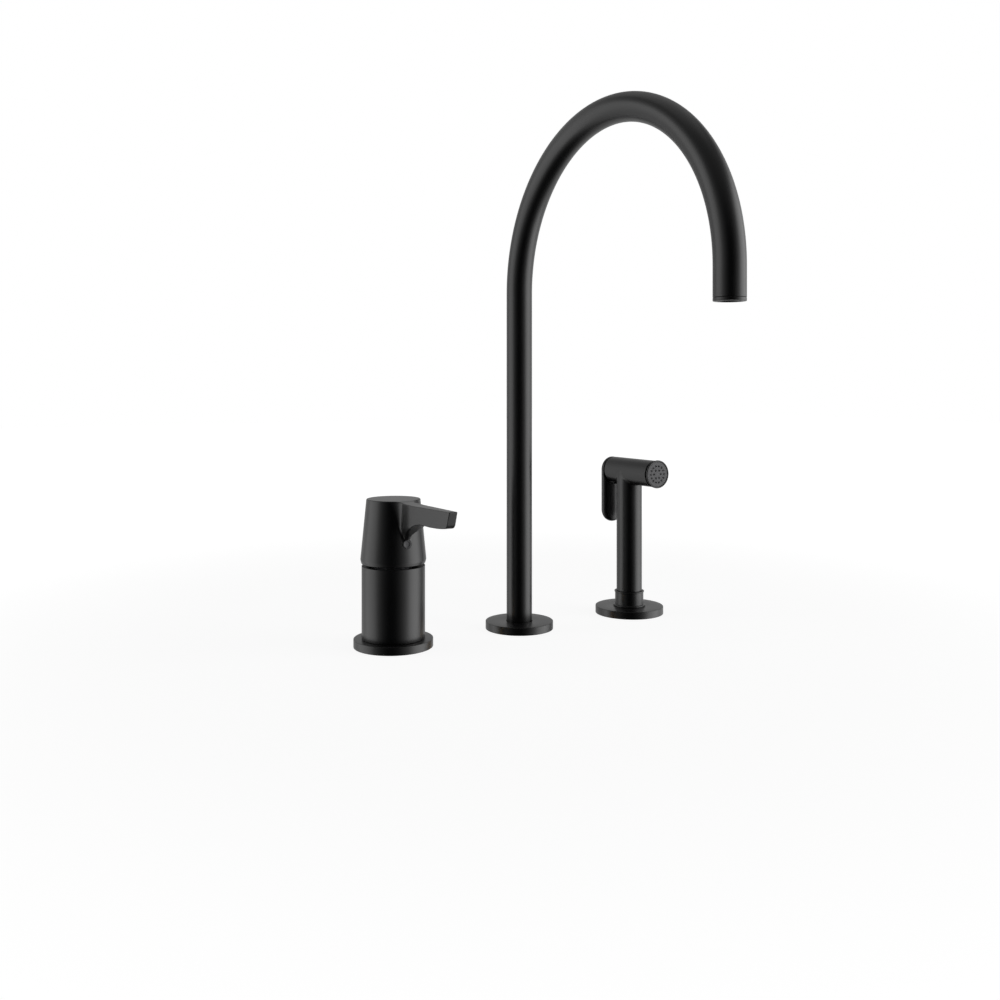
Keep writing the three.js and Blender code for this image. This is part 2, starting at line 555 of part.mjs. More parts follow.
/** The blade: its side outline, its plan and the keel's front outline, each extruded, and their common part. */
function leverBlade() {
  const top = CAP_TOP_Z;
  const tipTop = top + LEVER_TIP_RISE;
  const under = top - LEVER_UNDER_H;
  const keelFoot = GRUB_Z + PLUG_R + KEEL_CLEAR;
  const footL = CAP_TOP_R + (CAP_EDGE_R - CAP_TOP_R) * (top - keelFoot) / CAP_CONE_H;
  const rootL = CAP_TOP_R - CAP_EDGE - KEEL_ROOT;
  const side = new THREE.Shape();
  side.moveTo(rootL, top);
  side.lineTo(LEVER_L, tipTop);
  side.lineTo(LEVER_L - LEVER_TIP_RAKE, tipTop - LEVER_TIP_H);
  side.quadraticCurveTo((LEVER_L + LEVER_UNDER_L) / 2, under - LEVER_TIP_SAG, LEVER_UNDER_L, under);
  side.quadraticCurveTo(KEEL_L, under - KEEL_SAG, footL + KEEL_PROUD, keelFoot);
  side.lineTo(footL - KEEL_ROOT, keelFoot);
  side.lineTo(rootL, top - CAP_ROOF_T / 2);
  const upright = new THREE.Matrix4().makeBasis(
    new THREE.Vector3(0, -1, 0), new THREE.Vector3(0, 0, 1), new THREE.Vector3(-1, 0, 0));
  const sidePrism = plate(side, -CAP_TOP_R, CAP_TOP_R, 7).applyMatrix4(upright);

  const plan = new THREE.Shape();
  const bendL = (LEVER_MID_L + LEVER_NECK_L) / 2;
  plan.moveTo(-LEVER_TIP_W / 2, -LEVER_L - 1);
  plan.lineTo(LEVER_TIP_W / 2, -LEVER_L - 1);
  plan.lineTo(LEVER_MID_W / 2, -LEVER_MID_L);
  plan.quadraticCurveTo(LEVER_NECK_W / 2, -bendL, LEVER_NECK_W / 2, -LEVER_NECK_L);
  plan.lineTo(LEVER_NECK_W / 2, -LEVER_ROOT_L);
  plan.lineTo(-LEVER_NECK_W / 2, -LEVER_ROOT_L);
  plan.lineTo(-LEVER_NECK_W / 2, -LEVER_NECK_L);
  plan.quadraticCurveTo(-LEVER_NECK_W / 2, -bendL, -LEVER_MID_W / 2, -LEVER_MID_L);
  const planPrism = plate(plan, keelFoot - 1, tipTop + 1, 4);

  const keel = new THREE.Shape();
  keel.moveTo(-KEEL_FOOT_W / 2, keelFoot - 1);
  keel.lineTo(KEEL_FOOT_W / 2, keelFoot - 1);
  keel.lineTo(KEEL_TOP_W / 2, under);
  keel.lineTo(KEEL_TOP_W / 2, tipTop + 1);
  keel.lineTo(-KEEL_TOP_W / 2, tipTop + 1);
  keel.lineTo(-KEEL_TOP_W / 2, under);
  const facing = new THREE.Matrix4().makeBasis(
    new THREE.Vector3(1, 0, 0), new THREE.Vector3(0, 0, 1), new THREE.Vector3(0, -1, 0));
  const keelPrism = plate(keel, 0, LEVER_L + 1).applyMatrix4(facing);
  return common(sidePrism, planPrism, keelPrism);
}

function addHandle(mixer) {
  const half = SPINDLE_W / 2 + FIT / 2;
  const surface = CAP_EDGE_R - (CAP_EDGE_R - CAP_TOP_R) * (GRUB_Z - CAP_EDGE_Z) / CAP_CONE_H;
  const plugFront = surface + PLUG_PROUD;
  const plugBack = plugFront - PLUG_T;
  const grubFront = SPINDLE_W / 2 + FIT + GRUB_L;
  const spindleTop = CAP_TOP_Z - CAP_ROOF_T - SPINDLE_INSET;
  const squareHole = block([-half, -half, PIVOT_Z], [half, half, spindleTop + FIT]);
  const screwHole = rod(GRUB_R + SKIM, [0, 0, GRUB_Z], [0, -grubFront - FIT, GRUB_Z]);
  const keyHole = rod(GRUB_R + FIT, [0, -grubFront, GRUB_Z], [0, -surface - 1, GRUB_Z]);
  const plugHole = rod(PLUG_R + FIT / 2, [0, FIT - plugBack, GRUB_Z], [0, -surface - 2, GRUB_Z]);
  const shell = join(handleCone(), leverBlade());
  piece(mixer, 'mixer_handle', cut(shell, squareHole, screwHole, keyHole, plugHole), matteBlack);
  piece(mixer, 'handle_grub_screw',
    rod(GRUB_R, [0, GRUB_L - grubFront, GRUB_Z], [0, -grubFront, GRUB_Z]), steel);
  piece(mixer, 'handle_plug', rod(PLUG_R, [0, -plugBack, GRUB_Z], [0, -plugFront, GRUB_Z]), darkPlastic);
}

// ---------- spout ----------
/** The spout's centre line: up the riser, over a half circle and down the outlet leg. */
class SpoutLine extends THREE.Curve {
  constructor(low, high, end, bendR, arcSteps) {
    super();
    Object.assign(this, { low, high, end, bendR, arcSteps, steps: arcSteps + 2 });
  }

  getPoint(t, target = new THREE.Vector3()) {
    const step = t * this.steps;
    if (step <= 1) return target.set(0, 0, this.low + (this.high - this.low) * step);
    if (step >= this.arcSteps + 1) {
      const fall = (this.high - this.end) * (step - this.arcSteps - 1);
      return target.set(0, -2 * this.bendR, this.high - fall);
    }
    const angle = Math.PI * (step - 1) / this.arcSteps;
    return target.set(0, -this.bendR * (1 - Math.cos(angle)), this.high + this.bendR * Math.sin(angle));
  }

  getPointAt(u, target) {
    return this.getPoint(u, target);
  }

  getTangentAt(u, target = new THREE.Vector3()) {
    const angle = Math.PI * THREE.MathUtils.clamp((u * this.steps - 1) / this.arcSteps, 0, 1);
    return target.set(0, -Math.sin(angle), Math.cos(angle));
  }
}

function addSpoutBase(spout) {
  const headR = SPOUT_FLANGE_R - SOCKET_HEAD_INSET;
  const recessR = headR + FIT;
  const roofZ = FLANGE_T - SPOUT_FLANGE_ROOF;
  piece(spout, 'spout_flange', turned([
    [recessR, 0], [SPOUT_FLANGE_R, 0], [SPOUT_FLANGE_R, FLANGE_T - FLANGE_CHAMFER],
    [SPOUT_FLANGE_R - FLANGE_CHAMFER, FLANGE_T], [SPOUT_R + RUN + FLANGE_CHAMFER, FLANGE_T],
    [SPOUT_R + RUN, FLANGE_T - FLANGE_CHAMFER], [SPOUT_R + RUN, SOCKET_HEAD_Z + THRUST_WASHER_T + FIT],
    [SPOUT_BORE_R + THRUST_WASHER_W + FIT, SOCKET_HEAD_Z + THRUST_WASHER_T + FIT],
    [SPOUT_BORE_R + THRUST_WASHER_W + FIT, roofZ], [recessR, roofZ],
  ]), matteBlack);
  piece(spout, 'spout_gasket', ring(headR, SOCKET_SHANK_R + FIT, 0, GASKET_T, PLAIN), rubber);
  piece(spout, 'thrust_washer', ring(SPOUT_BORE_R + THRUST_WASHER_W, FOOT_R + RUN, SOCKET_HEAD_Z,
    SOCKET_HEAD_Z + THRUST_WASHER_T, PLAIN), whitePlastic);
  piece(spout, 'spout_socket', turned([
    [SOCKET_BORE_R, SOCKET_HEAD_Z], [SOCKET_BORE_R, SOCKET_STEP_Z], [SOCKET_LOWER_R, SOCKET_STEP_Z],
    [SOCKET_LOWER_R, SHANK_END], [SOCKET_SHANK_R, SHANK_END], [SOCKET_SHANK_R, GASKET_T],
    [headR, GASKET_T], [headR, SOCKET_HEAD_Z],
  ], PLAIN), brass);
  const plugR = SOCKET_LOWER_R - FIT;
  piece(spout, 'spout_inlet', turned([
    [INLET_BORE_R, SHANK_END - INLET_TAIL], [INLET_TAIL_R, SHANK_END - INLET_TAIL],
    [INLET_TAIL_R, SHANK_END], [plugR, SHANK_END], [plugR, SHANK_END + SPOUT_INLET_PLUG_H],
    [INLET_BORE_R, SHANK_END + SPOUT_INLET_PLUG_H],
  ], COARSE), brass);
  addClamp(spout, 'spout', SOCKET_SHANK_R, SPOUT_FLANGE_R);
}

function addSpoutFoot(spout) {
  const clipTop = SOCKET_STEP_Z - FIT;
  const clipGroove = [clipTop + SKIM, clipTop - CIRCLIP_T - SKIM];
  const footEnd = clipGroove[1] - 2;
  const grooves = [...GROOVE_DEPTHS.map(depth => [-depth, -depth - GROOVE_H]), clipGroove];
  piece(spout, 'spout_foot', turned([
    [FOOT_BORE_R, footEnd], [FOOT_BORE_R, SPOUT_TUBE_Z + FOOT_IN_TUBE],
    [FOOT_R, SPOUT_TUBE_Z + FOOT_IN_TUBE],
    ...grooves.flatMap(([high, low]) => [[FOOT_R, high], [GROOVE_R, high], [GROOVE_R, low], [FOOT_R, low]]),
    [FOOT_R, footEnd],
  ], PLAIN), brass);
  const names = ['spout_seal_upper', 'spout_seal_lower'];
  GROOVE_DEPTHS.forEach((depth, i) => {
    const high = -depth - (GROOVE_H - RING_SEAL_H) / 2;
    const inner = GROOVE_R + SKIM;
    const outer = SOCKET_BORE_R * Math.cos(Math.PI / PLAIN) - SKIM;
    piece(spout, names[i], ring(outer, inner, high - RING_SEAL_H, high, PLAIN), rubber);
  });
  const inner = GROOVE_R + FIT;
  const from = radians(CIRCLIP_GAP / 2 - 90);
  const to = radians(270 - CIRCLIP_GAP / 2);
  const clip = new THREE.Shape();
  clip.absarc(0, 0, inner + CIRCLIP_W, from, to, false);
  clip.absarc(0, 0, inner, to, from, true);
  piece(spout, 'spout_circlip', plate(clip, clipTop - CIRCLIP_T, clipTop, PLAIN), steel);
}

function addSpoutTube(spout) {
  const section = new THREE.Shape().absarc(0, 0, SPOUT_R, 0, 2 * Math.PI);
  section.holes.push(roundHole(SPOUT_BORE_R));
  const line = new SpoutLine(SPOUT_TUBE_Z, SPOUT_RISER_TOP, OUTLET_Z + OUTLET_RING_H + SKIM,
    SPOUT_BEND_R, ARC_STEPS);
  piece(spout, 'spout_tube', new THREE.ExtrudeGeometry(section,
    { steps: line.steps, extrudePath: line, bevelEnabled: false, curveSegments: TUBE_FACETS / 2 }), matteBlack);
}

function addOutlet(spout) {
  const outlet = new THREE.Group();
  outlet.position.set(0, -2 * SPOUT_BEND_R, OUTLET_Z);
  spout.add(outlet);
  const spigotR = SPOUT_BORE_R - FIT;
  const spigotTop = OUTLET_RING_H + OUTLET_SPIGOT_H;
  const lipR = AERATOR_R - AERATOR_WALL;
  const sealTop = AERATOR_INSET + AERATOR_H + AERATOR_SEAL_H;
  piece(outlet, 'outlet_ring', turned([
    [OUTLET_BORE_R, 0], [SPOUT_R, 0], [SPOUT_R, OUTLET_RING_H], [spigotR, OUTLET_RING_H],
    [spigotR, spigotTop], [lipR, spigotTop], [lipR, sealTop + SKIM], [OUTLET_BORE_R, sealTop + SKIM],
  ], PLAIN), matteBlack);
  const screenHigh = AERATOR_INSET + 1 + SCREEN_T;
  const innerR = AERATOR_R - AERATOR_WALL;
  const stepR = innerR - 0.8;
  piece(outlet, 'aerator_body', turned([
    [innerR, AERATOR_INSET], [AERATOR_R, AERATOR_INSET], [AERATOR_R, AERATOR_INSET + AERATOR_H],
    [stepR, AERATOR_INSET + AERATOR_H], [stepR, screenHigh + SKIM], [innerR, screenHigh + SKIM],
  ], PLAIN), darkPlastic);
  piece(outlet, 'aerator_screen', perforated(innerR - SKIM, SCREEN_HOLE_R, SCREEN_RINGS,
    screenHigh - SCREEN_T, screenHigh), darkPlastic);
  piece(outlet, 'aerator_seal', ring(AERATOR_R, stepR, AERATOR_INSET + AERATOR_H, sealTop, PLAIN), rubber);
}

// ---------- hand spray ----------
function addHolder(spray) {
  const shankR = HOLDER_R - SKIM;
  piece(spray, 'spray_flange', turned(flangeOutline(SPRAY_FLANGE_R, shankR + FIT)), matteBlack);
  addGasket(spray, 'spray', SPRAY_FLANGE_R);
  piece(spray, 'spray_holder', turned([
    [HOLDER_SHANK_BORE_R, SHANK_END], [shankR, SHANK_END], [shankR, FLANGE_T],
    [HOLDER_RING_R, FLANGE_T], [HOLDER_RING_R, FLANGE_T + HOLDER_RING_H],
    [HOLDER_R, FLANGE_T + HOLDER_RING_H], [HOLDER_R, HOLDER_TOP], [HOLDER_BORE_R, HOLDER_TOP],
    [HOLDER_BORE_R, HOLDER_STEP_Z], [HOLDER_SHANK_BORE_R, HOLDER_STEP_Z],
  ]), matteBlack);
  addClamp(spray, 'spray', shankR, SPRAY_FLANGE_R);
  piece(spray, 'holder_bush', turned([
    [BUSH_BORE_R, HOLDER_STEP_Z - BUSH_L], [BUSH_R, HOLDER_STEP_Z - BUSH_L],
    [BUSH_R, HOLDER_STEP_Z + SKIM / 2], [HOLDER_BORE_R - RUN, HOLDER_STEP_Z + SKIM / 2],
    [HOLDER_BORE_R - RUN, HOLDER_STEP_Z + BUSH_FLANGE_T], [BUSH_BORE_R, HOLDER_STEP_Z + BUSH_FLANGE_T],
  ], PLAIN), whitePlastic);
}

function addSprayBody(spray) {
  const stem = rod(STEM_R, [0, 0, STEM_Z], [0, 0, BARREL_Z], FINE);
  const barrel = rod(BARREL_R, [0, BARREL_BACK, BARREL_Z], [0, -BARREL_FRONT, BARREL_Z], FINE);
  const room = TONGUE_H / 2 + TRIGGER_PIVOT_IN * Math.sin(radians(TRIGGER_SQUEEZE)) + RUN;
  const slot = block([-TONGUE_W / 2 - RUN, TRIGGER_PIVOT_Y - TONGUE_REACH - RUN, TRIGGER_PIVOT_Z - room],
    [TONGUE_W / 2 + RUN, BARREL_BACK + 1, TRIGGER_PIVOT_Z + room]);
  const stemBore = rod(STEM_BORE_R, [0, 0, STEM_Z - 1], [0, 0, BARREL_Z], PLAIN);
  const barrelBore = rod(BARREL_BORE_R, [0, BARREL_BACK - BARREL_REAR_WALL, BARREL_Z],
    [0, -BARREL_FRONT - 1, BARREL_Z], PLAIN);
  const guide = rod(ROD_R + RUN, [0, 0, BARREL_Z], [0, BARREL_BACK + 1, BARREL_Z]);
  const pinHalf = TRIGGER_PIN_L / 2;
  const pinBore = rod(TRIGGER_PIN_R + SKIM, [-pinHalf - SKIM, TRIGGER_PIVOT_Y, TRIGGER_PIVOT_Z],
    [BARREL_R, TRIGGER_PIVOT_Y, TRIGGER_PIVOT_Z]);
  piece(spray, 'spray_body', cut(join(stem, barrel), stemBore, barrelBore, guide, slot, pinBore), matteBlack);
  piece(spray, 'trigger_pin', rod(TRIGGER_PIN_R, [-pinHalf, TRIGGER_PIVOT_Y, TRIGGER_PIVOT_Z],
    [pinHalf, TRIGGER_PIVOT_Y, TRIGGER_PIVOT_Z]), steel);
  const barbZ = STEM_Z - NIPPLE_BARB_L;
  piece(spray, 'spray_hose_nipple', turned([
    [NIPPLE_BORE_R, barbZ - NIPPLE_BARB_L], [NIPPLE_BARB_R, barbZ - NIPPLE_BARB_L],
    [NIPPLE_BARB_R, barbZ], [NIPPLE_R, barbZ], [NIPPLE_R, STEM_Z + NIPPLE_IN_STEM],
    [NIPPLE_BORE_R, STEM_Z + NIPPLE_IN_STEM],
  ], PLAIN), brass);
}

function addTrigger(spray) {
  const lowZ = BARREL_Z - TRIGGER_DROP;
  const outline = new THREE.Shape();
  outline.absarc(0, BARREL_Z, BARREL_R, 0, Math.PI, false);
  outline.absarc(0, lowZ, BARREL_R, Math.PI, 2 * Math.PI, false);
  const backwards = new THREE.Matrix4().makeBasis(
    new THREE.Vector3(-1, 0, 0), new THREE.Vector3(0, 0, 1), new THREE.Vector3(0, 1, 0));
  const slab = plate(outline, TRIGGER_Y, TRIGGER_Y + TRIGGER_T, COARSE).applyMatrix4(backwards);
  const back = TRIGGER_Y + TRIGGER_T;
  const tongue = block(
    [-TONGUE_W / 2, TRIGGER_PIVOT_Y - TONGUE_REACH, TRIGGER_PIVOT_Z - TONGUE_H / 2],
    [TONGUE_W / 2, TRIGGER_Y + TRIGGER_T / 2, TRIGGER_PIVOT_Z + TONGUE_H / 2]);
  const pinBore = rod(TRIGGER_PIN_R + RUN / 2, [-TONGUE_W, TRIGGER_PIVOT_Y, TRIGGER_PIVOT_Z],
    [TONGUE_W, TRIGGER_PIVOT_Y, TRIGGER_PIVOT_Z]);
  const rodHole = rod(ROD_R + 3 * RUN, [0, TRIGGER_Y - 1, BARREL_Z], [0, back, BARREL_Z]);
  const headRoom = rod(TRIGGER_PLUG_R + FIT / 2, [0, TRIGGER_Y + ROD_WALL, BARREL_Z], [0, back + 1, BARREL_Z]);
  piece(spray, 'trigger_paddle', cut(join(slab, tongue), pinBore, rodHole, headRoom), matteBlack);
  piece(spray, 'trigger_plug',
    rod(TRIGGER_PLUG_R, [0, back - TRIGGER_PLUG_T, BARREL_Z], [0, back, BARREL_Z]), darkPlastic);
}

/** Everything in the barrel is turned about its axis: local +Z points forwards, from the stem's axis. */
function addValveAndFace(spray) {
  const barrel = new THREE.Group();
  barrel.position.z = BARREL_Z;
  barrel.rotation.x = Math.PI / 2;
  spray.add(barrel);

  const boreR = BARREL_BORE_R - FIT;
  piece(barrel, 'valve_seat', ring(boreR, SEAT_HOLE_R, SEAT_FORWARD, SEAT_FORWARD + SEAT_T, PLAIN), brass);
  const washerHigh = SEAT_FORWARD - FIT;
  const washerLow = washerHigh - VALVE_WASHER_T;
  const collarHigh = washerLow - SKIM;
  const collarLow = collarHigh - VALVE_COLLAR_T;
  piece(barrel, 'valve_washer', ring(VALVE_WASHER_R, ROD_R + SKIM, washerLow, washerHigh, COARSE), rubber);
  const headFront = -TRIGGER_Y - ROD_WALL - FIT;
  piece(barrel, 'valve_rod', turned([
    [0, headFront - ROD_HEAD_T], [ROD_HEAD_R, headFront - ROD_HEAD_T], [ROD_HEAD_R, headFront],
    [ROD_R, headFront], [ROD_R, collarLow], [VALVE_COLLAR_R, collarLow], [VALVE_COLLAR_R, collarHigh],
    [ROD_R, collarHigh], [ROD_R, washerHigh + SKIM], [VALVE_TIP_R, washerHigh + SKIM],
    [VALVE_TIP_R, SEAT_FORWARD + SEAT_T], [0, SEAT_FORWARD + SEAT_T],
  ], COARSE), steel);
  const pull = TRIGGER_PIVOT_DROP * radians(TRIGGER_SQUEEZE);
  const springLow = -(BARREL_BACK - BARREL_REAR_WALL) + pull + RUN;
  piece(barrel, 'valve_spring', ring(SPRING_R, SPRING_R - SPRING_WIRE, springLow, collarLow - SKIM, COARSE),
    steel);

  const neckLow = BARREL_FRONT + SKIM;
  const ringLow = neckLow + FACE_NECK;
  const face = ringLow + FACE_RING_T;
  const plateR = FACE_RING_R - FACE_RIM;
  const plateLow = face - SPRAY_PLATE_T;
  const sealR = FACE_BORE_R + 1.6;
  piece(barrel, 'spray_face_ring', turned([
    [FACE_BORE_R, neckLow - FACE_SPIGOT_L], [boreR, neckLow - FACE_SPIGOT_L], [boreR, neckLow],
    [FACE_NECK_R, neckLow], [FACE_NECK_R, ringLow], [FACE_RING_R, ringLow], [FACE_RING_R, face],
    [plateR, face], [plateR, plateLow - FIT / 2], [sealR, plateLow - FIT / 2],
    [sealR, plateLow - FIT / 2 - FACE_SEAL_T], [FACE_BORE_R, plateLow - FIT / 2 - FACE_SEAL_T],
  ], PLAIN), matteBlack);
  piece(barrel, 'spray_plate', perforated(plateR - FIT / 2, NOZZLE_R, NOZZLE_RINGS, plateLow, face),
    darkPlastic);
  piece(barrel, 'spray_seal', ring(sealR - FIT / 2, FACE_BORE_R, plateLow - FACE_SEAL_T, plateLow - FIT / 2,
    COARSE), rubber);
}

// ---------- the whole set ----------
const faucet = new THREE.Group();
const mixer = new THREE.Group();
const spout = new THREE.Group();
const spray = new THREE.Group();
mixer.position.x = -HOLE_PITCH;
spray.position.x = HOLE_PITCH;
faucet.add(mixer, spout, spray);

addMixerBase(mixer);
addCartridge(mixer);
addLeverDrive(mixer);
addHandle(mixer);

addSpoutBase(spout);
addSpoutFoot(spout);
addSpoutTube(spout);
addOutlet(spout);

addHolder(spray);
addSprayBody(spray);
addTrigger(spray);
addValveAndFace(spray);

export default faucet;
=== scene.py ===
import json
import logging
import math
from dataclasses import dataclass
from enum import Enum
from typing import Callable, Sequence

import bmesh
import bpy
import numpy as np
from mathutils import Matrix, Vector


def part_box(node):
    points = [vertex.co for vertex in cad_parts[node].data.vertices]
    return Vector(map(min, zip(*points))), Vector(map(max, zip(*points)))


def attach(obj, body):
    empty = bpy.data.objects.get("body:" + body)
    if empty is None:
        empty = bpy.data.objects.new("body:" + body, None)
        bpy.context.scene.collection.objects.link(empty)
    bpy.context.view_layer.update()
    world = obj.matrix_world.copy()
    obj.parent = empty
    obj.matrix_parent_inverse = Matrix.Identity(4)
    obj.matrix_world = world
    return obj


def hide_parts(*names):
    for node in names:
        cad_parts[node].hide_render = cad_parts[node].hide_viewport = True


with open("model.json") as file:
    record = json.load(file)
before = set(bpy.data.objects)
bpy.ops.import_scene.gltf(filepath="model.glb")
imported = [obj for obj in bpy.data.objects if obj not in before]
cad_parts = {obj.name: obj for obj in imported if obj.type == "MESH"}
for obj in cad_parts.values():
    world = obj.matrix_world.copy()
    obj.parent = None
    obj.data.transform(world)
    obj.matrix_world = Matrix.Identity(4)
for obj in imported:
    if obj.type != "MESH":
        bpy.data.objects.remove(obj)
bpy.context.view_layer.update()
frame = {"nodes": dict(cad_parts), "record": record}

log = logging.getLogger("faucet")

MM = 0.001
TINY = 1e-6
NEARLY_HALF = 0.49
ROUND_STEPS = 5
RIM_SEGMENTS = 128
SEGMENTS = 96
SMALL_SEGMENTS = 48
SHARP_ANGLE = math.radians(32)
THREAD_ROWS = 6
THREAD_FLANK = 1.25

# Sizes that several pieces share, in millimetres.
GASKET_WIDTH = 5.4
FIT_GAP = 0.3
SKIM_GAP = 0.1
HAIR_EDGE = 0.1
FOOT_EDGE = 0.15
FINE_EDGE = 0.2
RIM_EDGE = 0.35
THREAD_TOP = -2.0
OUTLET_RING_H = 2.2

Point = tuple[float, float]
Colour = tuple[float, float, float]
Field = Callable[[np.ndarray], np.ndarray]
Shape = Callable[[float, float, float], float]


# ---------- sizes taken from the frame ----------
def middle(node: str) -> Vector:
    """The centre of a CAD node's box, in metres."""
    low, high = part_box(node)
    return (low + high) / 2


def low_mm(node: str, axis: int) -> float:
    """The lowest coordinate of a CAD node along an axis, in millimetres."""
    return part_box(node)[0][axis] / MM


def high_mm(node: str, axis: int) -> float:
    """The highest coordinate of a CAD node along an axis, in millimetres."""
    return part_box(node)[1][axis] / MM


def radius_mm(node: str) -> float:
    """Half the width of a CAD node, in millimetres."""
    low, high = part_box(node)
    return (high.x - low.x) / 2 / MM


# ---------- mesh tools ----------
@dataclass(frozen=True)
class Corner:
    """A corner of a turned outline, in millimetres.

    Args:
        r: distance from the axis.
        z: height along the axis.
        bend: radius that the corner is rounded with.
    """

    r: float
    z: float
    bend: float = 0.0


def rounded(corners: Sequence[Corner], steps: int = ROUND_STEPS) -> list[Point]:
    """Rounds the corners of a closed outline.

    Args:
        corners: the outline's corners in order.
        steps: straight steps in each rounding.

    Returns:
        The outline's points.
    """
    points: list[Point] = []
    for i, corner in enumerate(corners):
        if corner.bend <= 0:
            points.append((corner.r, corner.z))
            continue
        before, after = corners[i - 1], corners[(i + 1) % len(corners)]
        here = Vector((corner.r, corner.z))
        back = Vector((before.r, before.z)) - here
        on = Vector((after.r, after.z)) - here
        half = back.angle(on) / 2
        reach = min(corner.bend / math.tan(half), NEARLY_HALF * back.length, NEARLY_HALF * on.length)
        radius = reach * math.tan(half)
        centre = here + (back.normalized() + on.normalized()).normalized() * (radius / math.sin(half))
        start = here + back.normalized() * reach - centre
        end = here + on.normalized() * reach - centre
        first = math.atan2(start.y, start.x)
        turn = (math.atan2(end.y, end.x) - first + math.pi) % (2 * math.pi) - math.pi
        points += [(centre.x + radius * math.cos(first + turn * k / steps),
                    centre.y + radius * math.sin(first + turn * k / steps)) for k in range(steps + 1)]
    return points


def straight(height: float) -> Matrix:
    """The frame of a straight axis at a height."""
    return Matrix.Translation((0, 0, height))


@dataclass
class Lathe:
    """Turns a closed outline about an axis, which may be a curved line.

    Args:
        segments: steps round the axis.
        line: gives the frame of the axis at a height.
        shape: gives the radius of a point from its own radius, its height and its angle.
    """

    segments: int = SEGMENTS
    line: Callable[[float], Matrix] = straight
    shape: Shape | None = None

    def data(self, outline: Sequence[Point]) -> tuple[list[Vector], list[tuple[int, ...]]]:
        """Makes the points and faces.

        Args:
            outline: closed outline of (radius, height) points.

        Returns:
            The points and the faces.
        """
        points: list[Vector] = []
        rings: list[list[int]] = []
        for r, z in outline:
            place = self.line(z)
            if r < TINY:
                rings.append([len(points)])
                points.append(place @ Vector((0, 0, 0)))
                continue
            rings.append(list(range(len(points), len(points) + self.segments)))
            for j in range(self.segments):
                angle = 2 * math.pi * j / self.segments
                radius = self.shape(r, z, angle) if self.shape else r
                points.append(place @ Vector((radius * math.cos(angle), radius * math.sin(angle), 0)))
        faces: list[tuple[int, ...]] = []
        for i, ring in enumerate(rings):
            other = rings[(i + 1) % len(rings)]
            if len(ring) == 1 and len(other) == 1:
                continue
            for j in range(self.segments):
                k = (j + 1) % self.segments
                loop = [ring[n % len(ring)] for n in (j, k)] + [other[n % len(other)] for n in (k, j)]
                faces.append(tuple(dict.fromkeys(loop)))
        return points, faces


def solid(name: str, points: Sequence[Sequence[float]], faces: Sequence[Sequence[int]], place: Matrix,
          normals: np.ndarray | None = None) -> bpy.types.Object:
    """Makes one closed object from points given in millimetres.

    Args:
        name: the object's name.
        points: its points.
        faces: its faces.
        place: where the object stands in the frame, in metres.
        normals: normals of the points, where they are known exactly.

    Returns:
        The object.
    """
    mesh = bpy.data.meshes.new(name)
    mesh.from_pydata([(p[0] * MM, p[1] * MM, p[2] * MM) for p in points], [], [tuple(f) for f in faces])
    mesh.update()
    fix_winding(mesh)
    mesh.shade_smooth()
    if normals is None:
        mesh.set_sharp_from_angle(angle=SHARP_ANGLE)
    else:
        mesh.normals_split_custom_set_from_vertices([tuple(n) for n in normals])
    thing = bpy.data.objects.new(name, mesh)
    bpy.context.scene.collection.objects.link(thing)
    thing.matrix_world = place
    return thing


def fix_winding(mesh: bpy.types.Mesh) -> None:
    """Turns all faces outwards.

    Args:
        mesh: the mesh.
    """
    work = bmesh.new()
    work.from_mesh(mesh)
    bmesh.ops.recalc_face_normals(work, faces=work.faces)
    work.to_mesh(mesh)
    work.free()


def upright(x: float, y: float = 0.0, z: float = 0.0) -> Matrix:
    """The place of a piece whose axis stands upright at a point in millimetres."""
    return Matrix.Translation((x * MM, y * MM, z * MM))


def forwards(x: float, z: float, sign: int = 1) -> Matrix:
    """The place of a piece whose axis points forwards, or backwards where the sign is -1."""
    return upright(x, 0, z) @ Matrix.Rotation(sign * math.pi / 2, 4, "X")


# ---------- forms that swell into each other ----------
# Further from a surface than any edge or fillet reaches, in millimetres.
FAR = 9.0


def smooth_cut(a: np.ndarray, b: np.ndarray, r: float | np.ndarray) -> np.ndarray:
    """The common part of two forms, with its edge rounded to a radius."""
    rounding = np.hypot(np.maximum(a + r, 0), np.maximum(b + r, 0))
    return np.minimum(-r, np.maximum(a, b)) + rounding


def smooth_join(a: np.ndarray, b: np.ndarray, r: float | np.ndarray) -> np.ndarray:
    """Two forms joined with a fillet of a radius."""
    return -smooth_cut(-a, -b, r)


